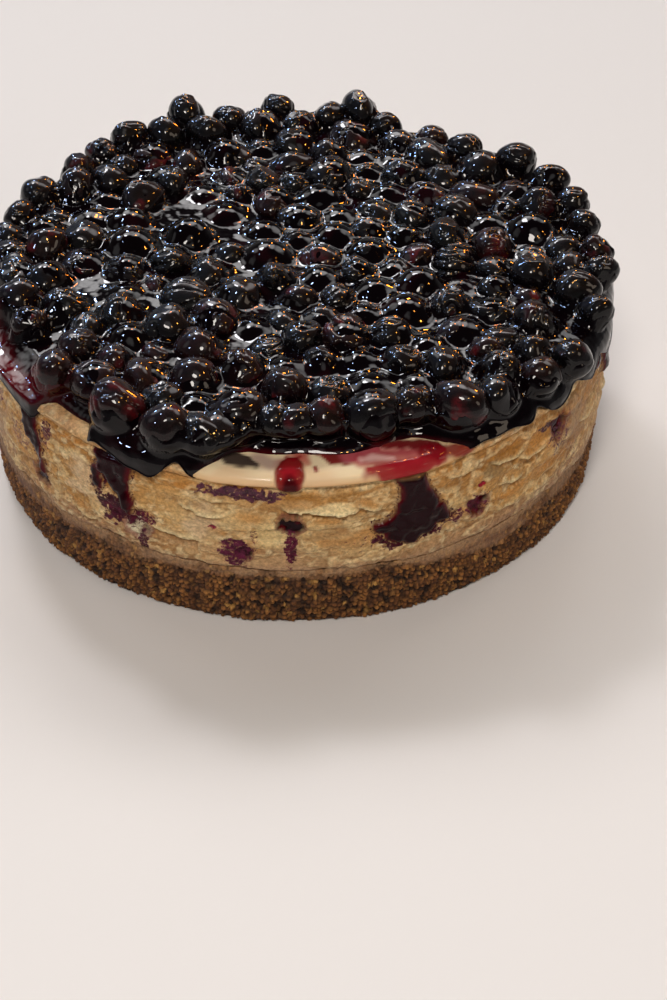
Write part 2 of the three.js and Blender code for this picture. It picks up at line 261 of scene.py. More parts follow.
# Baked cheese filling: moist and torn, smooth and shiny where juice or the lip shows.
def makeCheeseMaterial():
    material, tree, shader = newMaterial("bakedCheeseFilling", {
        "IOR": 1.45, "Specular IOR Level": 0.13, "Subsurface Weight": 0.06,
        "Subsurface Radius": (1.0, 0.55, 0.3), "Subsurface Scale": 1.2 * mm})
    place = addNode(tree, "ShaderNodeTexCoord").outputs["Object"]
    layered = addNode(tree, "ShaderNodeMapping", {"Scale": (1, 1, cheeseFinish["flat"])},
                      {"Vector": place}).outputs["Vector"]
    tone = addNode(tree, "ShaderNodeAttribute", {"attribute_name": "cheeseTone"}).outputs["Color"]
    wet = addNode(tree, "ShaderNodeAttribute", {"attribute_name": "wetness"}).outputs["Fac"]
    dry = addNode(tree, "ShaderNodeMapRange",
                  {"From Min": 0.25, "From Max": 0.6, "To Min": 1.0, "To Max": 0.0},
                  {"Value": wet}).outputs["Result"]
    grainy = mottled(tree, layered, cheeseFinish["fleckMm"], tone, 0.64, 1.32)
    cheese = addNode(tree, "ShaderNodeMix", {"data_type": "RGBA"}, {0: dry, 6: tone, 7: grainy}).outputs[2]
    juice = addNode(tree, "ShaderNodeAttribute", {"attribute_name": "juiceShare"}).outputs["Fac"]
    juiceTone = addNode(tree, "ShaderNodeAttribute", {"attribute_name": "juiceTone"}).outputs["Color"]
    juiceTone = mottled(tree, place, cheeseFinish["speckMm"] * 1.8, juiceTone, 0.35, 1.7)
    specks = addNode(tree, "ShaderNodeTexNoise",
                     {"Scale": 1 / (cheeseFinish["speckMm"] * mm), "Detail": 3.0, "Roughness": 0.65},
                     {"Vector": place})
    soaked = addNode(tree, "ShaderNodeMath", {"operation": "ADD"}, {0: juice, 1: specks.outputs["Fac"]})
    mask = addNode(tree, "ShaderNodeMapRange",
                   {"interpolation_type": "SMOOTHSTEP", "From Min": 0.86, "From Max": 1.08},
                   {"Value": soaked.outputs["Value"]}).outputs["Result"]
    stained = addNode(tree, "ShaderNodeMix", {"data_type": "RGBA"},
                      {0: mask, 6: cheese, 7: juiceTone}).outputs[2]
    tree.links.new(stained, shader.inputs["Base Color"])
    rough = addNode(tree, "ShaderNodeMapRange",
                    {"From Min": 0.0, "From Max": 1.0, "To Min": 0.5, "To Max": 0.08}, {"Value": wet})
    tree.links.new(rough.outputs["Result"], shader.inputs["Roughness"])
    grit = addNode(tree, "ShaderNodeTexNoise",
                   {"Scale": 1 / (cheeseFinish["grainMm"] * mm), "Detail": 4.0, "Roughness": 0.6},
                   {"Vector": layered})
    height = addNode(tree, "ShaderNodeMath", {"operation": "MULTIPLY"}, {0: grit.outputs["Fac"], 1: dry})
    bump = addNode(tree, "ShaderNodeBump", {"Strength": 0.9, "Distance": cheeseFinish["bumpMm"] * mm},
                   {"Height": height.outputs["Value"]})
    tree.links.new(bump.outputs["Normal"], shader.inputs["Normal"])
    return material


syrupFinish = {"rippleMm": 6.0, "bumpMm": 0.9}


def makeSyrupMaterial():  # cooked berry syrup: mirror-smooth and near black, deep red where it runs thin
    material, tree, shader = newMaterial("cookedBerrySyrup", {
        "Roughness": 0.05, "IOR": 1.47, "Specular IOR Level": 0.26})
    place = addNode(tree, "ShaderNodeTexCoord").outputs["Object"]
    tone = addNode(tree, "ShaderNodeAttribute", {"attribute_name": "syrupTone"}).outputs["Color"]
    tree.links.new(tone, shader.inputs["Base Color"])
    ripple = addNode(tree, "ShaderNodeTexNoise",
                     {"Scale": 1 / (syrupFinish["rippleMm"] * mm), "Detail": 1.5}, {"Vector": place})
    bump = addNode(tree, "ShaderNodeBump", {"Strength": 0.8, "Distance": syrupFinish["bumpMm"] * mm},
                   {"Height": ripple.outputs["Fac"]})
    tree.links.new(bump.outputs["Normal"], shader.inputs["Normal"])
    return material


skinFinish = {"blotchMm": 1.8, "creaseMm": 3.4, "bumpMm": 0.08}


# Cooked blueberry skin under a film of syrup: black, red-brown where the skin is thin.
def makeSkinMaterial():
    material, tree, shader = newMaterial("cookedBerrySkin", {
        "Roughness": 0.5, "IOR": 1.45, "Specular IOR Level": 0.06,
        "Coat Weight": 1.0, "Coat Roughness": 0.045, "Coat IOR": 1.32})
    place = addNode(tree, "ShaderNodeTexCoord").outputs["Object"]
    tone = addNode(tree, "ShaderNodeAttribute", {"attribute_name": "skinTone"}).outputs["Color"]
    mixed = mottled(tree, place, skinFinish["blotchMm"], tone, 0.3, 1.7)
    tree.links.new(mixed, shader.inputs["Base Color"])
    crease = addNode(tree, "ShaderNodeTexNoise",
                     {"Scale": 1 / (skinFinish["creaseMm"] * mm), "Detail": 0.5, "Distortion": 0.4},
                     {"Vector": place})
    bump = addNode(tree, "ShaderNodeBump", {"Strength": 0.8, "Distance": skinFinish["bumpMm"] * mm},
                   {"Height": crease.outputs["Fac"]})
    tree.links.new(bump.outputs["Normal"], shader.inputs["Normal"])
    tree.links.new(bump.outputs["Normal"], shader.inputs["Coat Normal"])
    return material


# Biscuit base

seamWave = makeWaves(cake["reliefSeed"] + 2, 5, 3, 17)


def seamHeight(degrees):  # where the filling meets the base
    return cake["baseHeight"] + cake["seamWaver"] * seamWave(degrees)


base = {
    "footRadius": 98.4,
    "radius": 99.2,
    "footRound": 1.2,
    "steps": 1320,
    "rowMm": 0.47,
    "grainMm": 1.55,
    "grainDepth": 0.8,
    "chunkDepth": 0.5,
    "smearFrom": [  # angle and height, above which the crumb is smeared smooth
        (-180, 17), (-90, 15), (-45, 15.5), (-20, 17.5), (-8, 19.5),
        (14, 19.5), (26, 16.5), (38, 14.5), (50, 15), (90, 17),
    ],
}


def makeBase():
    rows = np.arange(0.35, cake["baseHeight"] + 0.2, base["rowMm"])
    flare = base["radius"] - base["footRadius"]
    side = []
    for high in rows:
        rounded = max(0, base["footRound"] - high) * 0.6
        side.append((base["footRadius"] + flare * float(ease(0, 9, high)) - rounded, float(high)))
    profile = [(0, 0), (60, 0), (92, 0), (96.6, 0), (97.3, 0.05)] + side + [(97, 21.6), (80, 21.5), (0, 21.5)]
    piece = spinProfile("biscuitBase", profile, base["steps"])
    mesh = piece.data
    points, normals = readPoints(mesh), readNormals(mesh)
    degrees, radius = polar(points)
    z = points[:, 2].copy()
    onSide = ease(96.8, 97.6, radius) * ease(0.02, 0.5, z)
    lift = (seamHeight(degrees) - cake["baseHeight"]) * ease(12, 21.5, z) * ease(80, 97, radius)

    inner, gap, tag = grainField(points, (base["grainMm"],) * 3, 11)
    _, coarseGap, coarseTag = grainField(points, (3.4, 3.4, 2.8), 23)
    wander = softNoise(points, (16, 16, 30), 31) + 0.5 * softNoise(points, (5, 5, 6), 32)
    turns, heights = zip(*base["smearFrom"])
    smear = ease(-1.6, 1.6, z - np.interp(degrees, turns, heights, period=360) - 1.6 * wander)
    patches = softNoise(points, (6, 6, 3.5), 37) + 0.5 * softNoise(points, (2.2, 2.2, 1.6), 38)
    smear = smear * (1 - 0.55 * ease(0.15, 0.5, patches))
    crease = 1 - ease(0.02, 0.34, gap)
    chunkCrease = 1 - ease(0.02, 0.22, coarseGap)
    missing = ease(0.80, 0.84, tag) * (1 - smear)  # a grain that fell out leaves a hole
    relief = base["grainDepth"] * (0.45 - crease) * (0.6 + 0.8 * tag) + 0.3 * (0.6 - inner)
    relief += base["chunkDepth"] * (coarseTag - 0.5) - 0.35 * chunkCrease - 0.55 * missing
    relief = relief * (1 - 0.82 * smear) + 0.12 * smear
    relief += 0.35 * softNoise(points, (12, 12, 8), 41)
    depth = relief * onSide
    points += normals * depth[:, None]
    points[:, 2] = np.maximum(points[:, 2], 0) + lift
    writePoints(mesh, points)

    colours = np.tile(linear("#8f5c2c"), (len(points), 1))
    colours = blendIn(colours, "#b07a3c", ease(0.55, 0.95, tag))
    colours = blendIn(colours, "#6b4020", (tag < 0.3) * 0.8)
    # painted shade: the gaps between grains and the holes left by fallen grains are darkened
    colours = blendIn(colours, "#1d0d05", 0.85 * crease * (1 - smear) + 0.95 * missing)
    # painted shade: darker along the creases between the coarse chunks
    colours = blendIn(colours, "#2c170a", 0.6 * chunkCrease)
    colours = blendIn(colours, "#cf9a52", ease(0.955, 0.97, tag) * 0.7)
    lumps = softNoise(points, (7, 7, 3), 45) + 0.6 * softNoise(points, (2.4, 2.4, 1.8), 46)
    smearTone = blendIn(np.tile(linear("#8d6e52"), (len(points), 1)), "#64483a", ease(-0.3, 0.7, lumps))
    smearTone = blendIn(smearTone, "#a58563", ease(17.5, 21, z + 0.8 * lumps) * 0.9)
    colours += (smearTone - colours) * (smear * (0.9 - 0.3 * crease))[:, None]
    for stain in sideStains:
        colours = blendIn(colours, stain["colour"], 0.5 * stainShare(stain, degrees, points[:, 2], points))
    paint(mesh, "crumbTone", colours)
    mesh.materials.append(makeCrumbMaterial())
    finishPiece(piece, "biscuit_crumb", "biscuit_base")


# Baked filling

filling = {
    "steps": 1100,
    "rowMm": 0.52,
    "lipDrop": 4.2,
    "lipProud": 0.9,
}

# Juice that soaked into the crumb: angle, height, half width and half height in mm, colour, strength.
sideStains = [
    {"at": -31, "high": 35, "half": 8, "tall": 6.5, "colour": "#3d0c1e", "strength": 0.95},
    {"at": -34.5, "high": 43.5, "half": 3.5, "tall": 8, "colour": "#2a0713", "strength": 0.9},
    {"at": -25.5, "high": 35, "half": 5, "tall": 4.5, "colour": "#4c0f26", "strength": 0.75},
    {"at": -26, "high": 25, "half": 2, "tall": 5, "colour": "#3a1a26", "strength": 0.8},
    {"at": -8.0, "high": 50.4, "half": 13.5, "tall": 3.3, "colour": "#4a2a38", "strength": 0.9},
    {"at": -9.5, "high": 27.5, "half": 6.5, "tall": 6.5, "colour": "#4a1a30", "strength": 0.82},
    {"at": -6, "high": 34.5, "half": 1.6, "tall": 5, "colour": "#5a2030", "strength": 0.6},
    {"at": -13, "high": 37.5, "half": 1.6, "tall": 1.4, "colour": "#8a1434", "strength": 0.8},
    {"at": 0.2, "high": 30.5, "half": 2.2, "tall": 8.5, "colour": "#4a1228", "strength": 0.85},
    {"at": 19.5, "high": 32, "half": 15, "tall": 4.6, "colour": "#3a0c20", "strength": 0.85},
    {"at": 28.5, "high": 33.5, "half": 6, "tall": 4, "colour": "#4c1429", "strength": 0.75},
    {"at": 33.5, "high": 35, "half": 5, "tall": 5, "colour": "#4c1226", "strength": 0.7},
    {"at": 34.5, "high": 42, "half": 1.6, "tall": 0.9, "colour": "#8c1020", "strength": 0.9},
    {"at": 54, "high": 41, "half": 9, "tall": 7, "colour": "#4f3440", "strength": 0.62},
    {"at": 59, "high": 31, "half": 7, "tall": 8, "colour": "#5a4048", "strength": 0.5},
    {"at": 50, "high": 49.5, "half": 6, "tall": 2.2, "colour": "#24101c", "strength": 0.8},
    {"at": -56, "high": 40, "half": 7, "tall": 8, "colour": "#4d2638", "strength": 0.6},
    {"at": -47, "high": 50, "half": 3, "tall": 8, "colour": "#3a1226", "strength": 0.7},
    {"at": -66, "high": 48, "half": 9, "tall": 8, "colour": "#54303f", "strength": 0.6},
    {"at": 76, "high": 48, "half": 6, "tall": 8, "colour": "#3a1226", "strength": 0.75},
    {"at": 112, "high": 37, "half": 8, "tall": 6, "colour": "#3f1028", "strength": 0.85},
    {"at": 96, "high": 32, "half": 5, "tall": 4, "colour": "#4d2638", "strength": 0.7},
    {"at": 134, "high": 44, "half": 8, "tall": 4, "colour": "#452a38", "strength": 0.75},
    {"at": 158, "high": 30, "half": 6, "tall": 5, "colour": "#3a1226", "strength": 0.85},
    {"at": -176, "high": 40, "half": 7, "tall": 6, "colour": "#3f1028", "strength": 0.75},
    {"at": -150, "high": 46, "half": 8, "tall": 4, "colour": "#452a38", "strength": 0.75},
    {"at": -120, "high": 38, "half": 9, "tall": 6, "colour": "#3a0d20", "strength": 0.85},
    {"at": -100, "high": 30, "half": 6, "tall": 4, "colour": "#4c1428", "strength": 0.75},
]


def stainShare(stain, degrees, height, points):  # how strongly a stain shows at each point
    across = np.radians(turnBetween(degrees, stain["at"])) * cake["sideRadius"] / stain["half"]
    away = np.hypot(across, (height - stain["high"]) / stain["tall"])
    close = away < 1.7
    share = np.zeros(len(points))
    if close.any():
        near = points[close]
        broken = 0.5 * softNoise(near, (2.6, 2.6, 2.0), 61) + 0.35 * softNoise(near, (1.1, 1.1, 0.9), 62)
        share[close] = stain["strength"] * ease(1.25, 0.55, away[close] + 0.75 * broken)
    return share


# Pits of burst berries: angle, height, radius, depth, and whether juice stands in them.
burstPits = [
    {"at": -27, "high": 30.5, "radius": 4.8, "deep": 1.4, "inside": "crumb"},
    {"at": -8.0, "high": 28, "radius": 3.4, "deep": 1.2, "inside": "dark"},
    {"at": 0.3, "high": 39.6, "radius": 3.6, "deep": 1.0, "inside": "juice"},
    {"at": 33.5, "high": 35.2, "radius": 3.8, "deep": 1.0, "inside": "juice"},
    {"at": 54, "high": 46, "radius": 4.5, "deep": 1.2, "inside": "dark"},
    {"at": -50, "high": 31, "radius": 3.6, "deep": 0.9, "inside": "dark"},
]
backBursts = 9

# Thick syrup that ran down the side, as strokes of (mm along the side, height, half width).
syrupRuns = [
    {"at": -51, "thick": 1.0, "stroke": [(-3, 57, 4.2), (0, 47, 3.6), (2.4, 38, 2.6), (3.6, 33.5, 1.4)]},
    {"at": -30, "thick": 1.7,
     "stroke": [(-2.5, 58, 7.2), (-2, 51, 6.2), (-0.5, 46, 4.6), (2.2, 40, 2.6), (3.6, 36, 1.2)]},
    {"at": -33.5, "thick": 1.0, "stroke": [(-2.2, 47, 2.6), (-1.5, 42.5, 2.0)]},
    {"at": 20, "thick": 1.6, "stroke": [(0.5, 57, 5.4), (2.2, 47.5, 4.8), (3, 42, 7)]},
    {"at": 20, "thick": 1.7, "stroke": [(-8, 36.6, 3), (0, 37, 5.2), (8, 37.8, 4.4), (12.5, 35.5, 1.5)]},
    {"at": 20, "thick": 1.8, "stroke": [(-4.5, 33.2, 3.2), (1.5, 32.2, 3.6), (7, 34.5, 2.4)]},
    {"at": 76, "thick": 1.6, "stroke": [(-1, 58, 4), (0, 50, 3.4), (1, 44.5, 3.4)]},
    {"at": 70, "thick": 1.2, "stroke": [(0, 58, 3), (0.5, 52, 2.2)]},
    {"at": 112, "thick": 1.8, "stroke": [(0, 58, 5), (0.5, 48, 4.4), (1.6, 38.5, 5)]},
    {"at": -120, "thick": 1.8, "stroke": [(0, 58, 5), (-1, 48, 4.2), (-2, 41.5, 4.8)]},
    {"at": -176, "thick": 1.6, "stroke": [(0, 58, 4), (0.5, 50, 3.4), (1, 45.5, 3.8)]},
]

# Torn skin that lifts off the side: angle, height at its lower edge, half width and height in mm, and lift.
tornFlakes = [
    {"at": 5.4, "high": 44.0, "half": 11.5, "tall": 3.6, "lift": 1.3},
    {"at": 13.3, "high": 44.2, "half": 3.6, "tall": 3.0, "lift": 1.2},
    {"at": -15, "high": 41.6, "half": 7, "tall": 3.0, "lift": 0.8},
    {"at": -20, "high": 30.5, "half": 8, "tall": 6, "lift": 0.6},
    {"at": -38, "high": 26.4, "half": 4, "tall": 2.2, "lift": 0.9},
    {"at": 41, "high": 36.5, "half": 5, "tall": 3, "lift": 0.7},
    {"at": 40, "high": 45.5, "half": 6, "tall": 3, "lift": 0.8},
    {"at": 46, "high": 42, "half": 6, "tall": 3, "lift": 0.8},
    {"at": -60, "high": 31, "half": 6, "tall": 3, "lift": 0.7},
    {"at": 66, "high": 36, "half": 7, "tall": 3.5, "lift": 0.7},
]
backFlakes = 11


def strokeDistance(stroke, across, height):  # mm from a stroke's edge, below 0 inside it
    best = np.full(len(across), 99.0)
    for (x0, z0, w0), (x1, z1, w1) in zip(stroke, stroke[1:]):
        dx, dz = x1 - x0, z1 - z0
        t = np.clip(((across - x0) * dx + (height - z0) * dz) / (dx * dx + dz * dz), 0, 1)
        away = np.hypot(across - x0 - t * dx, height - z0 - t * dz)
        best = np.minimum(best, away - (w0 + t * (w1 - w0)))
    return best


def allPits():
    draw = makeDraw(cake["reliefSeed"] + 5)
    back = []
    for i in range(backBursts):
        at = 82 + (200 * (i + 0.7 * draw())) / backBursts
        high, radius, deep = 27 + 20 * draw(), 3.4 + 1.8 * draw(), 1.1 + 0.6 * draw()
        back.append({"at": at, "high": high, "radius": radius, "deep": deep * 0.8,
                     "inside": ("juice", "dark")[i % 2]})
    return burstPits + back


def allFlakes():
    draw = makeDraw(cake["reliefSeed"] + 6)
    back = []
    for i in range(backFlakes):
        at = 84 + (195 * (i + 0.8 * draw())) / backFlakes
        back.append({"at": at, "high": 27 + 20 * draw(), "half": 4 + 5 * draw(), "tall": 2.5 + 2 * draw(),
                     "lift": 0.7 + 0.4 * draw()})
    return tornFlakes + back


def makeFilling():
    top, radius0 = cake["top"], cake["sideRadius"]
    lipFoot = top - filling["lipDrop"]
    rows = [float(z) for z in np.arange(22.4, lipFoot - 0.2, filling["rowMm"])]
    side = [(radius0 + cake["bulge"] * math.sin(math.pi * (z - 21.5) / 37), z) for z in rows]
    roundLip = []
    for i in range(11):  # the rounded edge, from under the lip to the top
        turn = math.pi * (-0.32 + 0.82 * i / 10)
        roundLip.append((97.6 + 3.4 * math.cos(turn), 56.2 + 2.1 * math.sin(turn)))
    topRadii = (96.6, 95.6, 94.7, 93.8, 92.9, 92, 91.1, 90.2, 89.3, 88.4, 87.2, 85.8)
    topRows = [(r, top - 0.15) for r in topRadii]
    profile = [(0, 21.7), (80, 21.7), (99.4, 21.8)] + side + roundLip + topRows
    profile += [(80, top - 0.3), (0, top - 0.3)]
    piece = spinProfile("bakedFilling", profile, filling["steps"])
    mesh = piece.data
    points, normals = readPoints(mesh), readNormals(mesh)
    degrees, radius = polar(points)
    z = points[:, 2].copy()
    arc = radius0 * math.pi / 180
    lift = (seamHeight(degrees) - cake["baseHeight"]) * ease(27, 21.8, z) * ease(80, 97, radius)
    # height up the side, then inwards over the top
    unrolled = z + np.maximum(0, 100 - radius) * ease(52, 57, z)
    onLip = ease(53.2, 54.6, z) * ease(85, 87, radius)
    onSide = ease(98.5, 99.6, radius) * ease(54.6, 53.2, z)
    frontLip = ease(-19, -12, turnBetween(degrees, 0)) * ease(30.5, 24, turnBetween(degrees, 0))

    # torn, streaked side
    warp = 1.5 * softNoise(points, (9, 9, 5), 51) + 0.5 * softNoise(points, (3, 3, 2.4), 50)
    bent = points + np.stack([0 * warp, 0 * warp, warp], axis=1)
    streak = (0.42 * softNoise(bent, (17, 17, 2.6), 52) + 0.3 * softNoise(bent, (6, 6, 1.5), 53)
              + 0.2 * softNoise(bent, (2.6, 2.6, 1.0), 54))
    torn = [softNoise(bent, (19, 19, 6), 55) + 0.2 * softNoise(points, (2.6, 2.6, 2.6), 64),
            softNoise(bent, (11, 11, 3.6), 56) + 0.2 * softNoise(points, (2, 2, 2), 65)]
    terrace = sum(ease(0.0, 0.06, layer) for layer in torn)
    # masks for painted light: the raised edge of each torn layer, and the foot just below it
    tornEdgeHighlight = np.max([ease(-0.01, 0.02, layer) * ease(0.2, 0.05, layer) for layer in torn], axis=0)
    tornFootShade = np.max([ease(0.01, -0.02, layer) * ease(-0.16, -0.05, layer) for layer in torn], axis=0)
    crumbly = 0.16 * softNoise(points, (1.5, 1.5, 1.2), 57) + 0.08 * softNoise(points, (0.8, 0.8, 0.7), 58)
    inner, gap, tag = grainField(points, (2.3, 2.3, 1.7), 59)
    curd = 0.3 * (0.5 - inner)  # small curds of the torn filling
    rough = ease(-0.6, 0.3, softNoise(points, (14, 14, 8), 60))
    depth = streak + 0.34 * (terrace - 1) + crumbly * (0.6 + rough) + curd * rough
    groove = frontLip * ease(50.6, 53.0, z) * ease(54.3, 53.5, z)
    depth = depth - 1.1 * groove
    band = softNoise(points, (24, 24, 6), 66)
    away = np.abs(turnBetween(degrees, 6)) + 10 * band
    colours = np.tile(linear("#d2b07a"), (len(points), 1))
    colours = blendIn(colours, "#c08d4c", ease(14, 32, away) * 0.75)
    colours = blendIn(colours, "#ad7434", ease(40, 50, z + 5 * band) * 0.6)
    # painted highlight and painted shade: paler where the streaks stand out, darker where they sink in
    colours = blendIn(colours, "#e8cf98", ease(0.1, 0.6, streak) * 0.7)
    colours = blendIn(colours, "#94683a", ease(-0.1, -0.6, streak) * 0.7)
    colours = blendIn(colours, "#b28b66", ease(34, 24, z + 6 * band) * 0.8)
    colours = blendIn(colours, "#9f8069", ease(25.5, 21.5, z + 1.5 * band) * 0.6)
    colours = blendIn(colours, "#efdcae", ease(0.72, 0.9, tag) * rough * 0.55)
    # painted shade: darker in the gaps between the curds
    colours = blendIn(colours, "#7c5028", (1 - ease(0.02, 0.2, gap)) * rough * 0.45)
    golden = ease(0.1, 0.6, softNoise(bent, (11, 11, 2.8), 67))
    colours = blendIn(colours, "#bd7c30", golden * 0.5 * ease(26, 34, z))
    # painted highlight: paler along the edges of the torn layers
    colours = blendIn(colours, "#eed8a6", tornEdgeHighlight * 0.4)
    # painted shade: darker at the foot just below each torn layer
    colours = blendIn(colours, "#84592c", tornFootShade * 0.4)
    for at, high, half, tall, tone, strength in sidePatches:
        across = np.radians(turnBetween(degrees, at)) * radius0 / half
        far = np.hypot(across, (z - high) / tall) + 0.5 * softNoise(points, (4, 4, 3), 70)
        colours = blendIn(colours, tone, ease(1.15, 0.5, far) * strength)
    wet = np.full(len(points), 0.1) + 0.2 * ease(0.0, 0.5, softNoise(points, (8, 8, 5), 68))

    for flake in allFlakes():
        across = np.radians(turnBetween(degrees, flake["at"])) * radius0 / flake["half"]
        jag = 0.45 * softNoise(points, (1.6, 1.6, 40), 71) + 0.7 * softNoise(points, (5, 5, 40), 72)
        above = z - flake["high"] - 0.9 * jag - 1.1 * across ** 2 + 0.8 * across
        width = ease(1.15, 0.75, np.abs(across))
        skin = width * ease(-0.1, 0.25, above) * ease(flake["tall"], 0.2, above)
        under = width * ease(-2.4, -0.5, above) * ease(0.1, -0.25, above)
        depth = depth + flake["lift"] * skin - 0.8 * flake["lift"] * under
        colours = blendIn(colours, "#efdcaa", 0.8 * skin * ease(flake["tall"] * 0.8, 0, above))
        # painted shade: darker in the hollow under each lifted skin
        colours = blendIn(colours, "#8a5f30", 0.6 * under)

    for pit in allPits():
        across = np.radians(turnBetween(degrees, pit["at"])) * radius0
        bumpy = 1.5 * softNoise(points, (2.6, 2.6, 2.6), 75) + 0.6 * softNoise(points, (1.1, 1.1, 1.1), 74)
        away = (np.hypot(across, z - pit["high"]) + bumpy) / pit["radius"]
        inside = ease(1.05, 0.7, away)
        depth = depth * (1 - 0.6 * inside) - pit["deep"] * inside
        rim = ease(0.8, 0.95, away) * ease(1.22, 1.02, away)
        depth = depth + 0.35 * rim
        shade = {"juice": "#1a0207", "dark": "#260814", "crumb": "#ddd2b0"}[pit["inside"]]
        colours = blendIn(colours, "#6a1028", rim * 0.6)
        colours = blendIn(colours, shade, inside)
        clots = ease(0.0, 0.5, softNoise(points, (2.4, 2.4, 2.4), 73))
        colours = blendIn(colours, "#5c0410", inside * clots * 0.8)
        if pit["inside"] == "crumb":
            depth = depth + inside * (1.5 + 0.9 * softNoise(points, (1.4, 1.4, 1.2), 76))
            crumbs = ease(0.1, 0.7, softNoise(points, (1.3, 1.3, 1.1), 77))
            colours = blendIn(colours, "#8e7c5c", inside * crumbs)
            colours = blendIn(colours, "#7d0a1e", ease(0.62, 0.85, away) * inside * (across < 0))
        else:
            depth = depth + inside * 0.5 * softNoise(points, (1.8, 1.8, 1.6), 78)
            wet = np.maximum(wet, 0.9 * inside)

    juice = np.zeros(len(points))
    juiceTone = np.tile(linear("#6a1c36"), (len(points), 1))
    for stain in sideStains:
        share = stainShare(stain, degrees, z, points) * onSide
        juiceTone = blendIn(juiceTone, stain["colour"], share)
        juice = np.maximum(juice, share * 0.72)
        wet = np.maximum(wet, 0.45 * share)
    speckle = ease(0.1, 0.6, softNoise(points, (3, 3, 3), 79))
    speckle = speckle * ease(0.25, 0.5, softNoise(points, (15, 15, 9), 80))
    juice = np.maximum(juice, 0.3 * speckle * onSide)

    # the smooth lip, with thin red juice on it
    lipTone = blendIn(np.tile(linear("#efd9b2"), (len(points), 1)), "#d79a4c", ease(57.4, 54.6, z) * 0.85)
    lipTone = blendIn(lipTone, "#e3bd92", ease(0.0, 0.6, softNoise(points, (9, 9, 5), 81)) * 0.6)
    lipShare = onLip * (0.25 + 0.75 * frontLip)
    colours += (lipTone - colours) * lipShare[:, None]
    depth = depth * (1 - onLip * (0.4 + 0.6 * frontLip))
    depth = depth + filling["lipProud"] * frontLip * onLip * ease(57.5, 55, z)
    wet = np.where(lipShare > 0.5, np.maximum(wet, 0.88), wet)
    waver = 1.5 * softNoise(points, (5, 5, 5), 83) + 0.7 * softNoise(points, (1.8, 1.8, 1.8), 84)
    arcFront = np.radians(degrees) * radius0
    for smear in lipSmears:
        away = strokeDistance(smear["stroke"], arcFront, unrolled) + waver * smear["ragged"]
        share = ease(smear["soft"], -smear["soft"], away) * smear["strength"] * ease(52.5, 54.2, z)
        colours = blendIn(colours, smear["colour"], share)
        depth = depth + smear["thick"] * ease(0.6, -1.2, away) * onLip
        wet = np.maximum(wet, 0.97 * share)

    # thick syrup that ran down
    wobble = 1.1 * softNoise(points, (4.5, 4.5, 4.5), 85) + 0.5 * softNoise(points, (1.5, 1.5, 1.5), 86)
    nearest = np.full(len(points), 99.0)
    swell = np.zeros(len(points))
    for run in syrupRuns:
        across = np.radians(turnBetween(degrees, run["at"])) * radius0
        away = strokeDistance(run["stroke"], across, z) + wobble * 0.8
        share = np.clip(-away / 3.0, 0, 1)
        swell = np.maximum(swell, run["thick"] * np.sqrt(1 - (1 - share) ** 2))
        nearest = np.minimum(nearest, away)
    belowLip = ease(54.6, 52.6, z)
    run = ease(0.35, -0.35, nearest) * ease(55.6 - 1.6 * frontLip, 54.4 - 1.6 * frontLip, z)
    juiceTone = blendIn(juiceTone, "#3d0716", ease(3, 0.5, nearest))
    juice = np.maximum(juice, 0.6 * ease(2.2, -0.2, nearest) * onSide) * (1 - run)
    dips = softNoise(points, (3.2, 3.2, 4.0), 88) + 0.35 * softNoise(points, (1.4, 1.4, 2), 89)
    colours = blendIn(colours, "#1d0308", run)
    colours = blendIn(colours, "#52040f", run * ease(-1.6, -0.3, nearest) * 0.85)
    depth = depth * (1 - 0.6 * run) + (swell + 0.9 * dips) * run * belowLip
    wet = np.where(run > 0.05, np.maximum(wet, 0.93 * run), wet)

    depth = depth * (onSide + onLip)
    points += normals * depth[:, None]
    points[:, 2] += lift
    writePoints(mesh, points)
    paint(mesh, "cheeseTone", colours)
    paint(mesh, "wetness", wet)
    paint(mesh, "juiceShare", juice)
    paint(mesh, "juiceTone", juiceTone)
    mesh.materials.append(makeCheeseMaterial())
    finishPiece(piece, "baked_cheese", "baked_filling")


# Places of the side with a colour of their own: angle, height, half width and height, colour, strength.
sidePatches = [
    (40, 48, 9, 4, "#a06a26", 0.7), (37, 44.5, 5, 3, "#8f7a56", 0.6), (47, 45, 6, 5, "#c0823a", 0.6),
    (-15, 38, 6, 9, "#cdb08c", 0.7), (-3, 37, 6, 5, "#ddc28a", 0.7), (6, 50, 12, 2.6, "#a8732f", 0.6),
    (7, 45.4, 9, 2.2, "#f2dda8", 0.7), (9, 33, 10, 5, "#a3764a", 0.4), (60, 40, 10, 12, "#94745a", 0.6),
    (-70, 38, 14, 12, "#a98a72", 0.6), (-38, 40, 7, 9, "#dcc09a", 0.6), (-22, 46, 8, 5, "#c99c5e", 0.5),
    (120, 36, 16, 8, "#b08a5c", 0.5), (165, 44, 12, 6, "#b47c3e", 0.6), (-140, 34, 14, 8, "#caa878", 0.5),
]

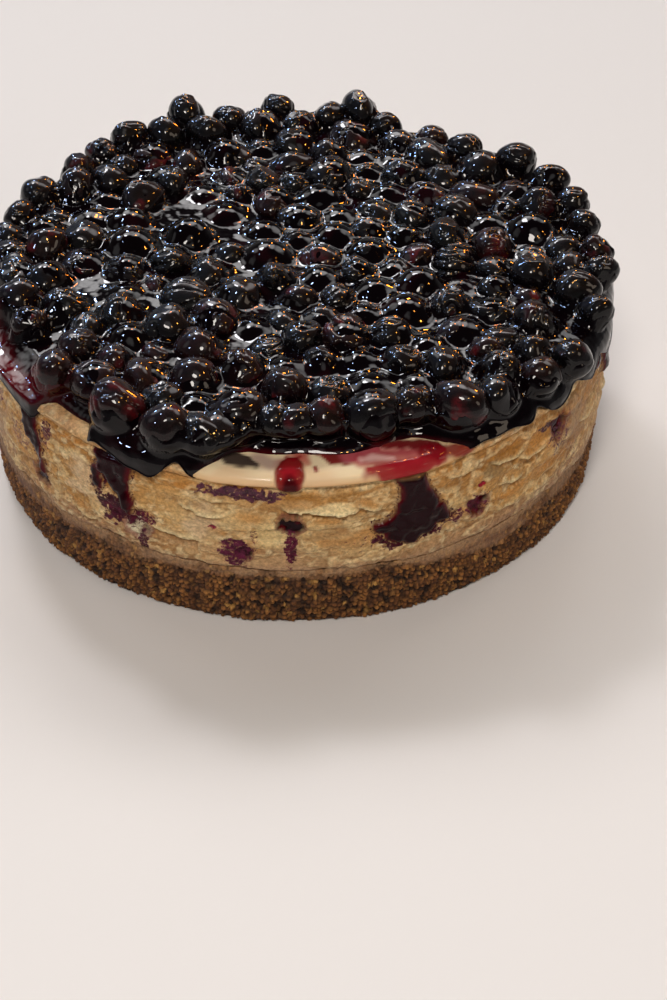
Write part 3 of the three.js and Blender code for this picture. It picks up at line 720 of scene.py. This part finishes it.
# Thin juice on the bare lip: strokes of (mm along the rim, mm up the side and inwards, half width).
lipSmears = [
    {"stroke": [(-9.5, 66, 3.0), (-6, 63, 2.6), (-3.5, 64, 2.0)], "colour": "#8c6470",
     "strength": 0.6, "soft": 2.0, "ragged": 1.0, "thick": 0.0},
    {"stroke": [(-17.5, 65, 3.0), (-14, 63.4, 2.9), (-10.6, 62.2, 1.6)], "colour": "#1f0a16",
     "strength": 0.94, "soft": 0.6, "ragged": 0.9, "thick": 0.5},
    {"stroke": [(9.6, 67.6, 1.6), (13.2, 65.4, 3.2), (18.5, 65.4, 3.6), (23.6, 66.8, 2.3), (27.3, 67.3, 2)],
     "colour": "#78000f", "strength": 0.97, "soft": 0.5, "ragged": 0.75, "thick": 0.4},
    {"stroke": [(19, 65, 2.6), (28, 65.5, 3.2), (36, 65, 3.2), (43, 62.5, 2.6)], "colour": "#bf5a62",
     "strength": 0.75, "soft": 1.6, "ragged": 1.0, "thick": 0.0},
    {"stroke": [(22.5, 62, 2.6), (28.5, 62.3, 3.6), (34, 61, 3.8), (39, 60, 3), (44, 58.8, 1.8)],
     "colour": "#a83a44", "strength": 0.85, "soft": 1.5, "ragged": 1.1, "thick": 0.2},
    {"stroke": [(22, 62.8, 0.8), (26, 63.2, 1.4), (31, 61.5, 0.9)], "colour": "#efc6bd",
     "strength": 0.7, "soft": 1.0, "ragged": 0.4, "thick": 0.0},
    {"stroke": [(23.5, 58.3, 1.6), (28.5, 57, 2.4), (33, 56.4, 2.8), (40, 57, 2.4), (46, 57.2, 1.3)],
     "colour": "#960f20", "strength": 0.95, "soft": 0.9, "ragged": 0.9, "thick": 0.3},
    {"stroke": [(31, 67.5, 1.5), (35.6, 67.2, 2.2), (40.6, 65, 2.4), (45.5, 62, 2.2), (46.4, 60, 1.4)],
     "colour": "#6a000e", "strength": 0.95, "soft": 0.6, "ragged": 0.9, "thick": 0.45},
    {"stroke": [(42, 60.5, 3.0), (48, 59, 2.6), (54, 57.5, 1.6)], "colour": "#7c0c18",
     "strength": 0.9, "soft": 1.0, "ragged": 1.0, "thick": 0.2},
    {"stroke": [(3.6, 66.5, 2.6), (5.6, 63.6, 1.6)], "colour": "#b2403a",
     "strength": 0.7, "soft": 1.2, "ragged": 0.9, "thick": 0.15},
    {"stroke": [(1.8, 69, 3.0), (1.6, 66, 4.0), (0.8, 62, 4.2)], "colour": "#b8483f",
     "strength": 0.66, "soft": 1.6, "ragged": 1.3, "thick": 0.15},
    {"stroke": [(-1.4, 66.5, 0.5), (1.0, 64, 0.8), (3.4, 66.5, 0.5)], "colour": "#8a0c18",
     "strength": 0.85, "soft": 0.5, "ragged": 0.5, "thick": 0.3},
    {"stroke": [(0.8, 61.8, 3.9), (0.2, 59, 4.6), (0.2, 56.6, 3.6)], "colour": "#7c0712",
     "strength": 0.96, "soft": 0.7, "ragged": 0.6, "thick": 0.9},
    {"stroke": [(0, 58.5, 2.4), (0.2, 56, 1.8)], "colour": "#a31225",
     "strength": 0.5, "soft": 1.4, "ragged": 0.2, "thick": 0.0},
    {"stroke": [(0.3, 55.2, 2.0), (0.9, 53.8, 1.3)], "colour": "#2c0408",
     "strength": 0.9, "soft": 0.9, "ragged": 0.5, "thick": 0.4},
    {"stroke": [(7.6, 61.6, 0.7), (7.9, 60.2, 0.7)], "colour": "#8e1420",
     "strength": 0.9, "soft": 0.4, "ragged": 0.2, "thick": 0.0},
]


# Berry compote

compote = {
    "overhang": 102.6,
    "bareRadius": 90.5,
    "hang": 2.7,
    "thinInset": 6.5,
    "berrySeed": 2024,
    "looseBerries": 141,
    "smallest": 10.5,
    "largest": 16.5,
    "settleRounds": 90,
    "closeness": 0.97,
    "rimRow": 12.0,
    "placedRise": 1.4,
    "placedFlat": 0.95,
    "rimRise": 0.8,
    "innerRise": -1.1,
    "riseSpread": 3.0,
    "flattest": 0.7,
    "sunkShare": 0.26,  # share of the inner berries that the syrup covers
    "sunkBy": 1.3,
    # The syrup's surface in mm off a berry's skin: beside a rim berry's foot, and near any berry's top.
    "film": (0.4, -0.9),
    "meniscus": 1.05,  # how widely the syrup climbs a berry, in mm
    "steps": 720,
    "topRows": 94,
    "rimRows": 22,
    # The syrup's depth by the distance in mm from its edge, where it lies full and where it lies thin.
    "depthAt": [0, 2.2, 5, 11, 40],
    "fullDepth": [0.6, 2.2, 4.6, 6.6, 7.1],
    "leastDepth": [0.5, 0.9, 1.4, 4.6, 7.1],
    "neighbours": 7,  # how many berries shape the syrup at one point
    "marchFrom": 22.0,  # how far out a ray starts, in mm, and in how many steps it comes in
    "marchSteps": 34,
}

# Stretches of the rim: middle and half width, and how far the syrup draws back there.
bareStretches = [(8, 21, 1), (-42.5, 6, 0.5), (-149, 5, 0.45)]
shallowStretches = [(50, 22, 1), (-100, 14, 1), (174, 8, 1)]
thinStretches = [(-74, 27, 1), (154, 10, 1)]

# How the front of the syrup's foot rises and drops: middle and half width, and mm up.
footTouches = [
    (-34.5, 4.5, 4.2), (-30.5, 2.5, 1.2), (-23.2, 2.6, -1.4), (-19, 3.4, 4.6),
    (-14, 1.8, -0.4), (-43.5, 3, -1.5), (-11, 2, 2), (33, 5, 2.2),
    (40, 6, 2.6), (47, 3, 3.4), (52.3, 2.6, -0.6), (57.5, 3, 2.4), (63, 2.6, -1.6), (68, 3, 2), (86, 6, 1.5),
    (130, 5, 2), (143, 4, -1.5), (-110, 5, 1.8), (-136, 5, 2), (-167, 4, -1.2),
]

# The berries that are placed, those of the rim and the largest near it: angle, distance from the
# middle, diameter, and how much higher or lower than the others a few of them lie.
placedBerries = [
    (-82.3, 78.7, 14, -1.5), (-69, 76, 14, -1.5), (-60, 61, 14, -1.5), (-50, 92, 14, -2),
    (-45.5, 53.2, 15, -1.5), (-33, 92.8, 16.5, -1), (-21.6, 95, 15, -1), (-10.4, 83.5, 17.5, -1),
    (-1.6, 69, 13.5, -1), (6.8, 83.5, 12.5, -1), (16.4, 84.5, 16.5, -1), (25.1, 84, 12.5, -1),
    (32.8, 90.4, 16.5, -1), (38.6, 73, 12.8, -1), (40.3, 94, 13.2, -1), (49.5, 77.5, 10, -1),
    (49.8, 96.4, 12.4, -1), (57.8, 99.4, 13, -1), (65.5, 81.8, 14.8, -1), (73.5, 98, 10.5, -0.5),
    (78.5, 90.5, 13.8, 0), (86.3, 97.5, 10.5, 0), (93, 97, 11, 0), (103, 96.5, 11, 0),
    (110.4, 97.5, 11.5, 0), (119.2, 97.5, 12.5, 1), (129.1, 96.5, 13, 1), (140.4, 90, 12.5, 0),
    (167.3, 96, 13.5, 1.5), (173.5, 91.5, 11.5, 0), (-175.5, 95, 12, 1.5), (-164.8, 92.5, 12, 0),
    (-156.2, 97.5, 13, 2.5), (-142.4, 96, 12.5, 0), (-134.5, 94, 11, 0), (-126.5, 92, 11.5, 0),
    (-114.5, 94, 12.5, 0), (-105.4, 93.5, 11, 0), (-97, 93, 10.5, 0),
]

edgeWave = makeWaves(cake["reliefSeed"] + 3, 6, 4, 23)
hangWave = makeWaves(cake["reliefSeed"] + 4, 6, 6, 19)


def along(stretches, degrees):  # 1 in the middle of the nearest stretch times its share, 0 outside
    shares = [share * ease(half * 1.2, half * 0.7, np.abs(turnBetween(degrees, at)))
              for at, half, share in stretches]
    return np.max(shares, axis=0)


def footRise(degrees):
    rise = [up * np.exp(-(turnBetween(degrees, at) / (0.75 * half)) ** 2) for at, half, up in footTouches]
    return np.sum(rise, axis=0)


def syrupEdge(degrees):
    bare, waver = along(bareStretches, degrees), edgeWave(degrees)
    back = compote["bareRadius"] - compote["overhang"] + 1.6 * waver
    edge = compote["overhang"] + 0.35 * waver + bare * back
    return edge - 0.22 * footRise(degrees) * (1 - bare)


def hangHeight(degrees):
    bare = along(bareStretches, degrees)
    hang = (compote["hang"] + 1.2 * hangWave(degrees)) * (1 - 0.75 * along(shallowStretches, degrees))
    return cake["top"] - 2 - hang * (1 - ease(0, 0.5, bare)) + footRise(degrees) * (1 - bare)


def berryLimit(degrees, radius):
    edge = compote["overhang"] + along(bareStretches, degrees) * (compote["bareRadius"] - compote["overhang"])
    return edge - compote["thinInset"] * along(thinStretches, degrees) - radius * 0.95


# Every berry's x, y, z, radius, flatness and whether it lies at the rim: scattered, then settled.
def placeBerries():
    draw = makeDraw(compote["berrySeed"])
    places = [(out * math.sin(math.radians(at)), -out * math.cos(math.radians(at)), wide / 2)
              for at, out, wide, _ in placedBerries]
    for i in range(compote["looseBerries"]):
        out = (cake["sideRadius"] - 8) * math.sqrt(draw())
        angle = math.radians(360 * draw())
        wide = compote["smallest"] + (compote["largest"] - compote["smallest"]) * draw()
        places.append((out * math.sin(angle), -out * math.cos(angle), wide / 2))
    spots = np.array(places)
    x, y, radius = spots[:, 0].copy(), spots[:, 1].copy(), spots[:, 2]
    fixed = np.arange(len(spots)) < len(placedBerries)
    for i in range(compote["settleRounds"]):
        dx, dy = x[:, None] - x[None, :], y[:, None] - y[None, :]
        apart = np.hypot(dx, dy)
        np.fill_diagonal(apart, 999)
        overlap = np.maximum(0, compote["closeness"] * (radius[:, None] + radius[None, :]) - apart)
        share = np.where(fixed[None, :], 0.9, 0.45) * overlap / apart
        x = np.where(fixed, x, x + (share * dx).sum(axis=1))
        y = np.where(fixed, y, y + (share * dy).sum(axis=1))
        out, degrees = np.hypot(x, y), np.degrees(np.arctan2(x, -y))
        pull = np.where(fixed, 1, np.minimum(1, berryLimit(degrees, radius) / out))
        x, y = x * pull, y * pull
    out, degrees = np.hypot(x, y), np.degrees(np.arctan2(x, -y))
    atRim = out > berryLimit(degrees, radius) - compote["rimRow"]
    berries = []
    for i in range(len(x)):
        if fixed[i]:
            rise, flat = compote["placedRise"] + placedBerries[i][3], compote["placedFlat"]
        else:
            rise = compote["rimRise"] if atRim[i] else compote["innerRise"]
            rise += compote["riseSpread"] * (draw() - 0.5)
            flat = compote["flattest"] + (1 - compote["flattest"]) * draw()
        draw()  # not used, and keeps the later numbers as they are
        berries.append((x[i], y[i], cake["syrupLevel"] + rise, radius[i], flat, float(fixed[i] or atRim[i])))
    return np.array(berries)


# Cooked berries by kind: depth of the folds, dents and collapse as shares of the radius, and how
# far down the skin is kept, because what lies deeper is sunk in the syrup.
berryKinds = [
    {"name": "rimBerries", "fold": (0.03, 0.12),
     "dent": 0.17, "crown": 0.2, "slump": (0.0, 0.22), "keepFrom": -0.92},
    {"name": "farRimBerries", "fold": (0.03, 0.12),
     "dent": 0.16, "crown": 0.5, "slump": (0.0, 0.2), "keepFrom": -0.92},
    {"name": "plumpBerries", "fold": (0.06, 0.16),
     "dent": 0.18, "crown": 0.6, "slump": (0.0, 0.2), "keepFrom": -0.4},
    {"name": "wrinkledBerries", "fold": (0.16, 0.28),
     "dent": 0.2, "crown": 0.1, "slump": (0.05, 0.3), "keepFrom": -0.4},
    {"name": "burstBerries", "fold": (0.1, 0.2),
     "dent": 0.22, "crown": 0.0, "slump": (0.3, 0.5), "keepFrom": -0.4},
]


def turnMatrices(draw, count):
    turns = []
    for i in range(count):
        axis = Vector((draw() - 0.5, draw() - 0.5, draw() - 0.5)).normalized()
        turns.append(np.array(Matrix.Rotation(draw() * 2 * math.pi, 3, axis)))
    return np.array(turns)


def makeBerryKind(kind, berries, seed, material):
    # one ball without its sunk bottom, then as many copies as there are berries, each shaped by its own folds
    bm = bmesh.new()
    bmesh.ops.create_icosphere(bm, subdivisions=5, radius=1)
    bmesh.ops.bisect_plane(bm, geom=bm.verts[:] + bm.edges[:] + bm.faces[:],
                           plane_co=(0, 0, kind["keepFrom"]), plane_no=(0, 0, -1), clear_outer=True)
    bmesh.ops.holes_fill(bm, edges=[edge for edge in bm.edges if edge.is_boundary], sides=0)
    ball = bpy.data.meshes.new("ball")
    bm.to_mesh(ball)
    bm.clear()
    for berry in berries:
        bm.from_mesh(ball)
    piece = newObject(kind["name"], bm)
    mesh = piece.data
    count = len(berries)
    cap = readPoints(mesh).reshape(count, -1, 3) * mm  # in shares of the radius
    unit = cap / np.maximum(np.linalg.norm(cap, axis=2, keepdims=True), 1e-9)
    bpy.data.meshes.remove(ball)

    draw = makeDraw(seed)
    turns = turnMatrices(draw, count)
    offsets = np.array([[draw() * 90, draw() * 90, draw() * 90] for berry in berries])
    foldDepth = np.array([kind["fold"][0] + (kind["fold"][1] - kind["fold"][0]) * draw()
                          for berry in berries])
    slump = np.array([kind["slump"][0] + (kind["slump"][1] - kind["slump"][0]) * draw()
                      for berry in berries])
    tint = np.array([draw() for berry in berries])
    each = unit.shape[1]

    own = np.einsum("bij,bvi->bvj", turns, unit)  # directions as the berry itself has them
    local = (own + offsets[:, None, :]).reshape(-1, 3)
    dents = softNoise(local, 1.15, seed + 1) + 0.25 * softNoise(local, 0.6, seed + 2)
    bend = 0.35 * np.stack([softNoise(local, 0.9, seed + k) for k in (3, 4, 5)], axis=1)
    fold = softNoise(local + bend, (0.42, 0.42, 1.9), seed + 6)
    creases = ease(0, 0.4, np.abs(fold)) - 1
    creased = ease(-0.25, 0.3, softNoise(local, 1.0, seed + 7))  # folds gather on one side of a berry
    swell = 1 + kind["dent"] * dents + np.repeat(foldDepth, each) * creases * creased
    ownPole = np.degrees(np.arccos(np.clip(own[..., 2], -1, 1))).reshape(-1)
    lobes = np.cos(5 * np.arctan2(own[..., 1], own[..., 0])).reshape(-1)
    crown = 0.07 * np.exp(-((ownPole - 24 - 3 * lobes) / 6) ** 2) * (1 + 0.5 * lobes)
    crown = crown - 0.2 * np.exp(-(ownPole / 15) ** 2)
    swell = swell + kind["crown"] * crown
    slumpAt = turns[:, 0, :].copy()  # each berry sinks in on a side that looks more or less upwards
    slumpAt[:, 2] = 0.9 + 0.5 * np.abs(slumpAt[:, 2])
    slumpAt /= np.linalg.norm(slumpAt, axis=1, keepdims=True)
    facing = np.degrees(np.arccos(np.clip(np.einsum("bvi,bi->bv", unit, slumpAt), -1, 1))).reshape(-1)
    swell = swell - np.repeat(slump, each) * np.exp(-(facing / 34) ** 2)

    shaped = cap * swell.reshape(count, -1)[..., None]
    long = 1 + 0.13 * np.array([draw() * 2 - 1 for berry in berries])[:, None]
    heading = np.array([draw() * math.pi for berry in berries])[:, None]
    lengthways = (shaped[..., 0] * np.cos(heading) + shaped[..., 1] * np.sin(heading)) * long
    sideways = (shaped[..., 1] * np.cos(heading) - shaped[..., 0] * np.sin(heading)) / long
    shaped[..., 0] = lengthways * np.cos(heading) - sideways * np.sin(heading)
    shaped[..., 1] = lengthways * np.sin(heading) + sideways * np.cos(heading)
    shaped[..., 2] *= berries[:, 4][:, None]
    points = shaped * berries[:, 3][:, None, None] + berries[:, None, :3]
    writePoints(mesh, points.reshape(-1, 3))

    tints = np.repeat(tint, each)
    colours = np.tile(linear("#050204"), (len(local), 1))
    colours = blendIn(colours, "#190505", ease(0.6, 0.95, tints) * 0.8)
    patches = ease(0.35, 0.75, softNoise(local, 0.7, seed + 8))
    colours = blendIn(colours, "#4a0a10", patches * 0.7 * ease(0.55, 0.8, tints))
    # painted shade: darker down in the folds
    colours = blendIn(colours, "#020101", ease(-0.4, -1.0, creases) * creased * 0.8)
    colours = blendIn(colours, "#5e0c14", ease(32, 8, facing) * (np.repeat(slump, each) > 0.4) * 0.75)
    paint(mesh, "skinTone", colours)
    smoothShade(mesh)
    mesh.materials.append(material)
    finishPiece(piece, "berry_syrup")


# How many mm a point lies above the syrup's surface, with fillets where it climbs berries.
def syrupDistance(points, degrees, near):
    radius = np.hypot(points[:, 0], points[:, 1])
    edge, thin = syrupEdge(degrees), along(thinStretches, degrees)
    inward = edge - radius
    full = np.interp(inward, compote["depthAt"], compote["fullDepth"])
    least = np.interp(inward, compote["depthAt"], compote["leastDepth"])
    shallow = np.maximum(thin, 0.8 * along(bareStretches, degrees))
    level = cake["top"] + full + shallow * (least - full)
    corner = 2.2 - 1.5 * thin
    across, above = corner - inward, points[:, 2] - level + corner
    slab = np.hypot(np.maximum(across, 0), np.maximum(above, 0))
    slab = slab + np.minimum(np.maximum(across, above), 0) - corner
    offset = points[:, None, :] - near[..., :3]
    high = offset[..., 2] / near[..., 3]
    offset[..., 2] /= near[..., 4]
    uneven = 0.3 * np.sin(0.8 * points[:, 0] + 1.3) * np.cos(0.9 * points[:, 1])
    film = near[..., 5] + (compote["film"][1] - near[..., 5]) * ease(-0.2, 0.45, high + uneven[:, None])
    away = np.linalg.norm(offset, axis=2) - near[..., 3] - film
    k = compote["meniscus"]
    least = np.minimum(slab, away.min(axis=1))
    total = np.exp((least - slab) / k) + np.exp((least[:, None] - away) / k).sum(axis=1)
    return least - k * np.log(total)


def makeSyrup(berries, sunk, material):
    # a turned blank, whose rings then move out along their own rays until they meet the syrup's surface
    topRows, rimRows = compote["topRows"], compote["rimRows"]
    rings = [(r, 66.0) for r in np.linspace(0, 96.6, topRows)]
    rings += [(96.6 + 0.01 * (i + 1), 66.0) for i in range(rimRows)]
    # past the rim the syrup ends in a bead: out and up from its lowest
    bead = [(0.2, 0.75), (0.25, 0.35), (0.05, 0.0), (-0.7, -0.15), (-2.2, 0.2)]
    rings += [(97.2 + 0.01 * i, 60.0) for i in range(len(bead))] + [(92, 55.5), (84, 55.5), (0, 55.5)]
    piece = spinProfile("berrySyrup", rings[::-1], compote["steps"])
    mesh = piece.data
    blank = readPoints(mesh)
    degrees, ring = polar(blank)
    edge, low = syrupEdge(degrees), hangHeight(degrees)
    bare, thin = along(bareStretches, degrees), along(thinStretches, degrees)
    top = cake["top"]
    spine = edge - 6
    lowest = low + ease(0, 0.5, bare) * (top - 0.3 - low)
    spineHigh = lowest + 2.6
    onTop = (np.abs(blank[:, 2] - 66) < 0.01) & (ring < 96.605)
    onRim = (np.abs(blank[:, 2] - 66) < 0.01) & (ring > 96.605)
    share = np.where(onRim, (ring - 96.6) / (0.01 * rimRows), 0)
    out = np.where(onTop, ring / 96.6 * spine, spine)
    turn = np.radians(90 - share * (90 + 20))
    sine, cosine = np.sin(np.radians(degrees)), np.cos(np.radians(degrees))
    start = np.stack([out * sine, -out * cosine, np.where(onRim, spineHigh, top - 1)], axis=1)
    ray = np.stack([np.cos(turn) * sine, -np.cos(turn) * cosine, np.sin(turn)], axis=1)

    moving = np.nonzero(onTop | onRim)[0]
    origin, heading, angle = start[moving], ray[moving], degrees[moving]
    coat = berries.copy()  # its last column becomes the film beside each berry's foot
    coat[:, 5] = np.where(berries[:, 5] > 0.5, compote["film"][0], compote["film"][1])
    coat[sunk, 3] += 0.35 - compote["film"][1]
    coat[sunk, 2] -= compote["sunkBy"]
    away = np.hypot(origin[:, None, 0] - coat[None, :, 0], origin[:, None, 1] - coat[None, :, 1])
    away = away - coat[None, :, 3]
    neighbours = compote["neighbours"]
    near = coat[np.argpartition(away, neighbours, axis=1)[:, :neighbours]]
    travel = np.full(len(moving), compote["marchFrom"])
    for i in range(compote["marchSteps"]):
        travel = np.maximum(0, travel - 0.85 * syrupDistance(origin + heading * travel[:, None], angle, near))
    points = blank.copy()
    points[moving] = origin + heading * travel[:, None]

    # the rim's last ring gives the bead below it
    lastRim = np.nonzero(onRim & (share > 0.999))[0]
    order = lastRim[np.argsort(degrees[lastRim])]
    lastRadius = np.interp(degrees, degrees[order], np.hypot(points[order, 0], points[order, 1]), period=360)
    lastHigh = np.interp(degrees, degrees[order], points[order, 2], period=360)
    for i, (outward, rise) in enumerate(bead):
        on = (np.abs(blank[:, 2] - 60) < 0.01) & (np.abs(ring - 97.2 - 0.01 * i) < 0.004)
        radius = lastRadius[on] + outward * (1 - 0.5 * thin[on])
        points[on, 0], points[on, 1] = radius * sine[on], -radius * cosine[on]
        points[on, 2] = lowest[on] + rise * np.clip((lastHigh[on] - lowest[on]) / 1.2, 0.1, 1)
    under = np.abs(blank[:, 2] - 55.5) < 0.01
    inner = np.minimum(ring, np.where(ring > 90, edge - 8, 80))[under]
    points[under, 0], points[under, 1] = inner * sine[under], -inner * cosine[under]
    writePoints(mesh, points)

    points = readPoints(mesh)
    radius = np.hypot(points[:, 0], points[:, 1])
    inward = edge - radius
    blotch = softNoise(points, 9, 91) + 0.5 * softNoise(points, 3.5, 92)
    colours = np.tile(linear("#050103"), (len(points), 1))
    colours = blendIn(colours, "#1c0308", ease(0.3, 1.0, blotch) * 0.6)
    redness = thin * ease(9, 4, inward + 1.8 * blotch) * ease(57, 59, points[:, 2])
    bareEdge = 0.9 * bare * ease(1.4, 0.2, inward + 0.5 * blotch) * ease(61, 59.6, points[:, 2])
    redness = np.maximum(redness, bareEdge)
    colours = blendIn(colours, "#480009", redness * 0.95)
    colours = blendIn(colours, "#5e0610", redness * ease(0.3, 0.9, blotch) * 0.8)
    paint(mesh, "syrupTone", colours)
    mesh.materials.append(material)
    finishPiece(piece, "berry_syrup", "berry_compote")


def makeCompote():
    berries = placeBerries()
    skin, syrup = makeSkinMaterial(), makeSyrupMaterial()
    draw = makeDraw(505)
    luck = np.array([draw() for berry in berries])
    atRim = berries[:, 5] > 0.5
    sunk = ~atRim & (luck < compote["sunkShare"])
    rimKind = np.where(berries[:, 1] < 20, 0, 1)  # front half of the rim, then the far half
    innerKind = np.where(sunk, -1, 2 + (luck * 997).astype(int) % 3)  # -1 lies under the syrup
    kindOf = np.where(atRim, rimKind, innerKind)
    for i, kind in enumerate(berryKinds):
        makeBerryKind(kind, berries[kindOf == i], 300 + 20 * i, skin)
    makeSyrup(berries, sunk, syrup)
    print("compote:", len(berries), "berries, of which", int(sunk.sum()), "lie under the syrup")


# Floor, light and camera

studio = {
    "floorTone": "#ddd9d6",
    "worldTone": "#e8e6e6",
    "worldStrength": 0.06,
    "horizon": 0.3,  # extra brightness of the room low down
    # Soft bright places round the room: azimuth from the back, height, half width in degrees, brightness.
    "glows": [
        (-15, 42, 9, 10.5), (12, 47, 8, 9.0), (40, 40, 10, 5.0),
        (-46, 38, 9, 4.0), (-88, 34, 9, 1.0), (165, 60, 12, 1.5),
    ],
    "lamps": [  # name, place, aim and diameter in metres, brightness of its face, colour
        ("frontKey", (-0.15, -0.97, 1.25), (0, 0, 0.04), 0.34, 37, "#fff7ee"),
        ("overhead", (-0.5, 1.0, 1.4), (-0.1, 0.5, 0.0), 0.3, 40, "#fbfaff"),
        ("rightFill", (1.2, -0.7, 0.8), (0, 0, 0.05), 0.5, 3.5, "#ffe9d2"),
    ],
    # Distant small lamps that only show in the gloss: place in metres, diameter, brightness, colour.
    "sparkles": [
        ((-0.85, 0.75, 0.75), 0.08, 260, "#8fb8ff"),
        ((-0.3, 1.2, 0.62), 0.06, 300, "#a6c6ff"),
        ((-0.6, 0.1, 1.1), 0.07, 260, "#b4d0ff"),
        ((-0.95, -0.5, 0.8), 0.06, 260, "#c4d8ff"),
        ((0.75, 0.95, 0.6), 0.08, 230, "#ff8a24"),
        ((0.2, 1.3, 0.8), 0.06, 280, "#ff9a34"),
        ((0.1, 0.9, 1.15), 0.06, 260, "#ff8420"),
        ((0.7, -0.1, 1.0), 0.07, 230, "#ffa640"),
        ((0.35, -0.7, 1.2), 0.06, 230, "#ffb860"),
    ],
}


def makeFloor():
    bm = bmesh.new()
    below = Matrix.Translation((0, 0, -0.2 * mm))
    bmesh.ops.create_grid(bm, x_segments=8, y_segments=8, size=3.0, matrix=below)
    floor = newObject("studioFloor", bm)
    material, _, shader = newMaterial("matteFloorPaint", {"Roughness": 0.85, "Specular IOR Level": 0.1})
    shader.inputs["Base Color"].default_value = (*linear(studio["floorTone"]), 1)
    floor.data.materials.append(material)


def makeLights():
    world = bpy.data.worlds.new("paleStudio")
    world.use_nodes = True
    tree = world.node_tree
    background = tree.nodes["Background"]
    background.inputs["Color"].default_value = (*linear(studio["worldTone"]), 1)
    heading = addNode(tree, "ShaderNodeTexCoord").outputs["Generated"]
    total = addNode(tree, "ShaderNodeValue").outputs["Value"]
    total.default_value = studio["worldStrength"]
    for azimuth, high, half, brightness in studio["glows"]:
        turn, tilt = math.radians(azimuth), math.radians(high)
        middle = (math.sin(turn) * math.cos(tilt), math.cos(turn) * math.cos(tilt), math.sin(tilt))
        facing = addNode(tree, "ShaderNodeVectorMath", {"operation": "DOT_PRODUCT", 1: middle}, {0: heading})
        glow = addNode(tree, "ShaderNodeMapRange", {
            "interpolation_type": "SMOOTHSTEP", "From Min": math.cos(math.radians(half * 1.5)),
            "From Max": math.cos(math.radians(half * 0.2)), "To Min": 0.0, "To Max": brightness},
            {"Value": facing.outputs["Value"]})
        total = addNode(tree, "ShaderNodeMath", {"operation": "ADD"},
                        {0: total, 1: glow.outputs["Result"]}).outputs[0]
    high = addNode(tree, "ShaderNodeSeparateXYZ", None, {0: heading}).outputs["Z"]
    low = addNode(tree, "ShaderNodeMapRange", {
        "interpolation_type": "SMOOTHSTEP", "From Min": 0.5, "From Max": -0.1,
        "To Min": 0.0, "To Max": studio["horizon"]}, {"Value": high})
    total = addNode(tree, "ShaderNodeMath", {"operation": "ADD"},
                    {0: total, 1: low.outputs["Result"]}).outputs[0]
    tree.links.new(total, background.inputs["Strength"])
    bpy.context.scene.world = world
    sparkles = [("sparkle" + str(i), place, (0, 0, 0.07), size, brightness, tone)
                for i, (place, size, brightness, tone) in enumerate(studio["sparkles"])]
    for name, place, aim, size, brightness, tone in studio["lamps"] + sparkles:
        lamp = bpy.data.lights.new(name, "AREA")
        lamp.shape, lamp.size = "DISK", size
        lamp.energy, lamp.color = brightness * math.pi * math.pi * size ** 2 / 4, linear(tone)
        holder = bpy.data.objects.new(name, lamp)
        holder.location = place
        holder.rotation_euler = (Vector(aim) - Vector(place)).to_track_quat("-Z", "Y").to_euler()
        holder.visible_diffuse = not name.startswith("sparkle")
        bpy.context.scene.collection.objects.link(holder)


view = {"lens": 78.87, "place": (0.01271, -0.59169, 0.44723), "aim": (0.01271, 0, -0.03181), "roll": 0.19}


def makeCamera():
    lens = bpy.data.cameras.new("camera")
    lens.lens, lens.sensor_width, lens.sensor_fit = view["lens"], 36, "AUTO"
    lens.clip_start, lens.clip_end = 0.02, 20
    camera = bpy.data.objects.new("camera", lens)
    camera.location = view["place"]
    aim = (Vector(view["aim"]) - Vector(view["place"])).to_track_quat("-Z", "Y")
    camera.rotation_euler = (aim.to_matrix() @ Matrix.Rotation(math.radians(view["roll"]), 3, "Z")).to_euler()
    bpy.context.scene.collection.objects.link(camera)
    bpy.context.scene.camera = camera
    bpy.context.scene.view_settings.view_transform = "Standard"


print("camera, floor and light")
makeCamera()
makeFloor()
makeLights()
print("biscuit base")
makeBase()
print("baked filling")
makeFilling()
print("berry compote")
makeCompote()
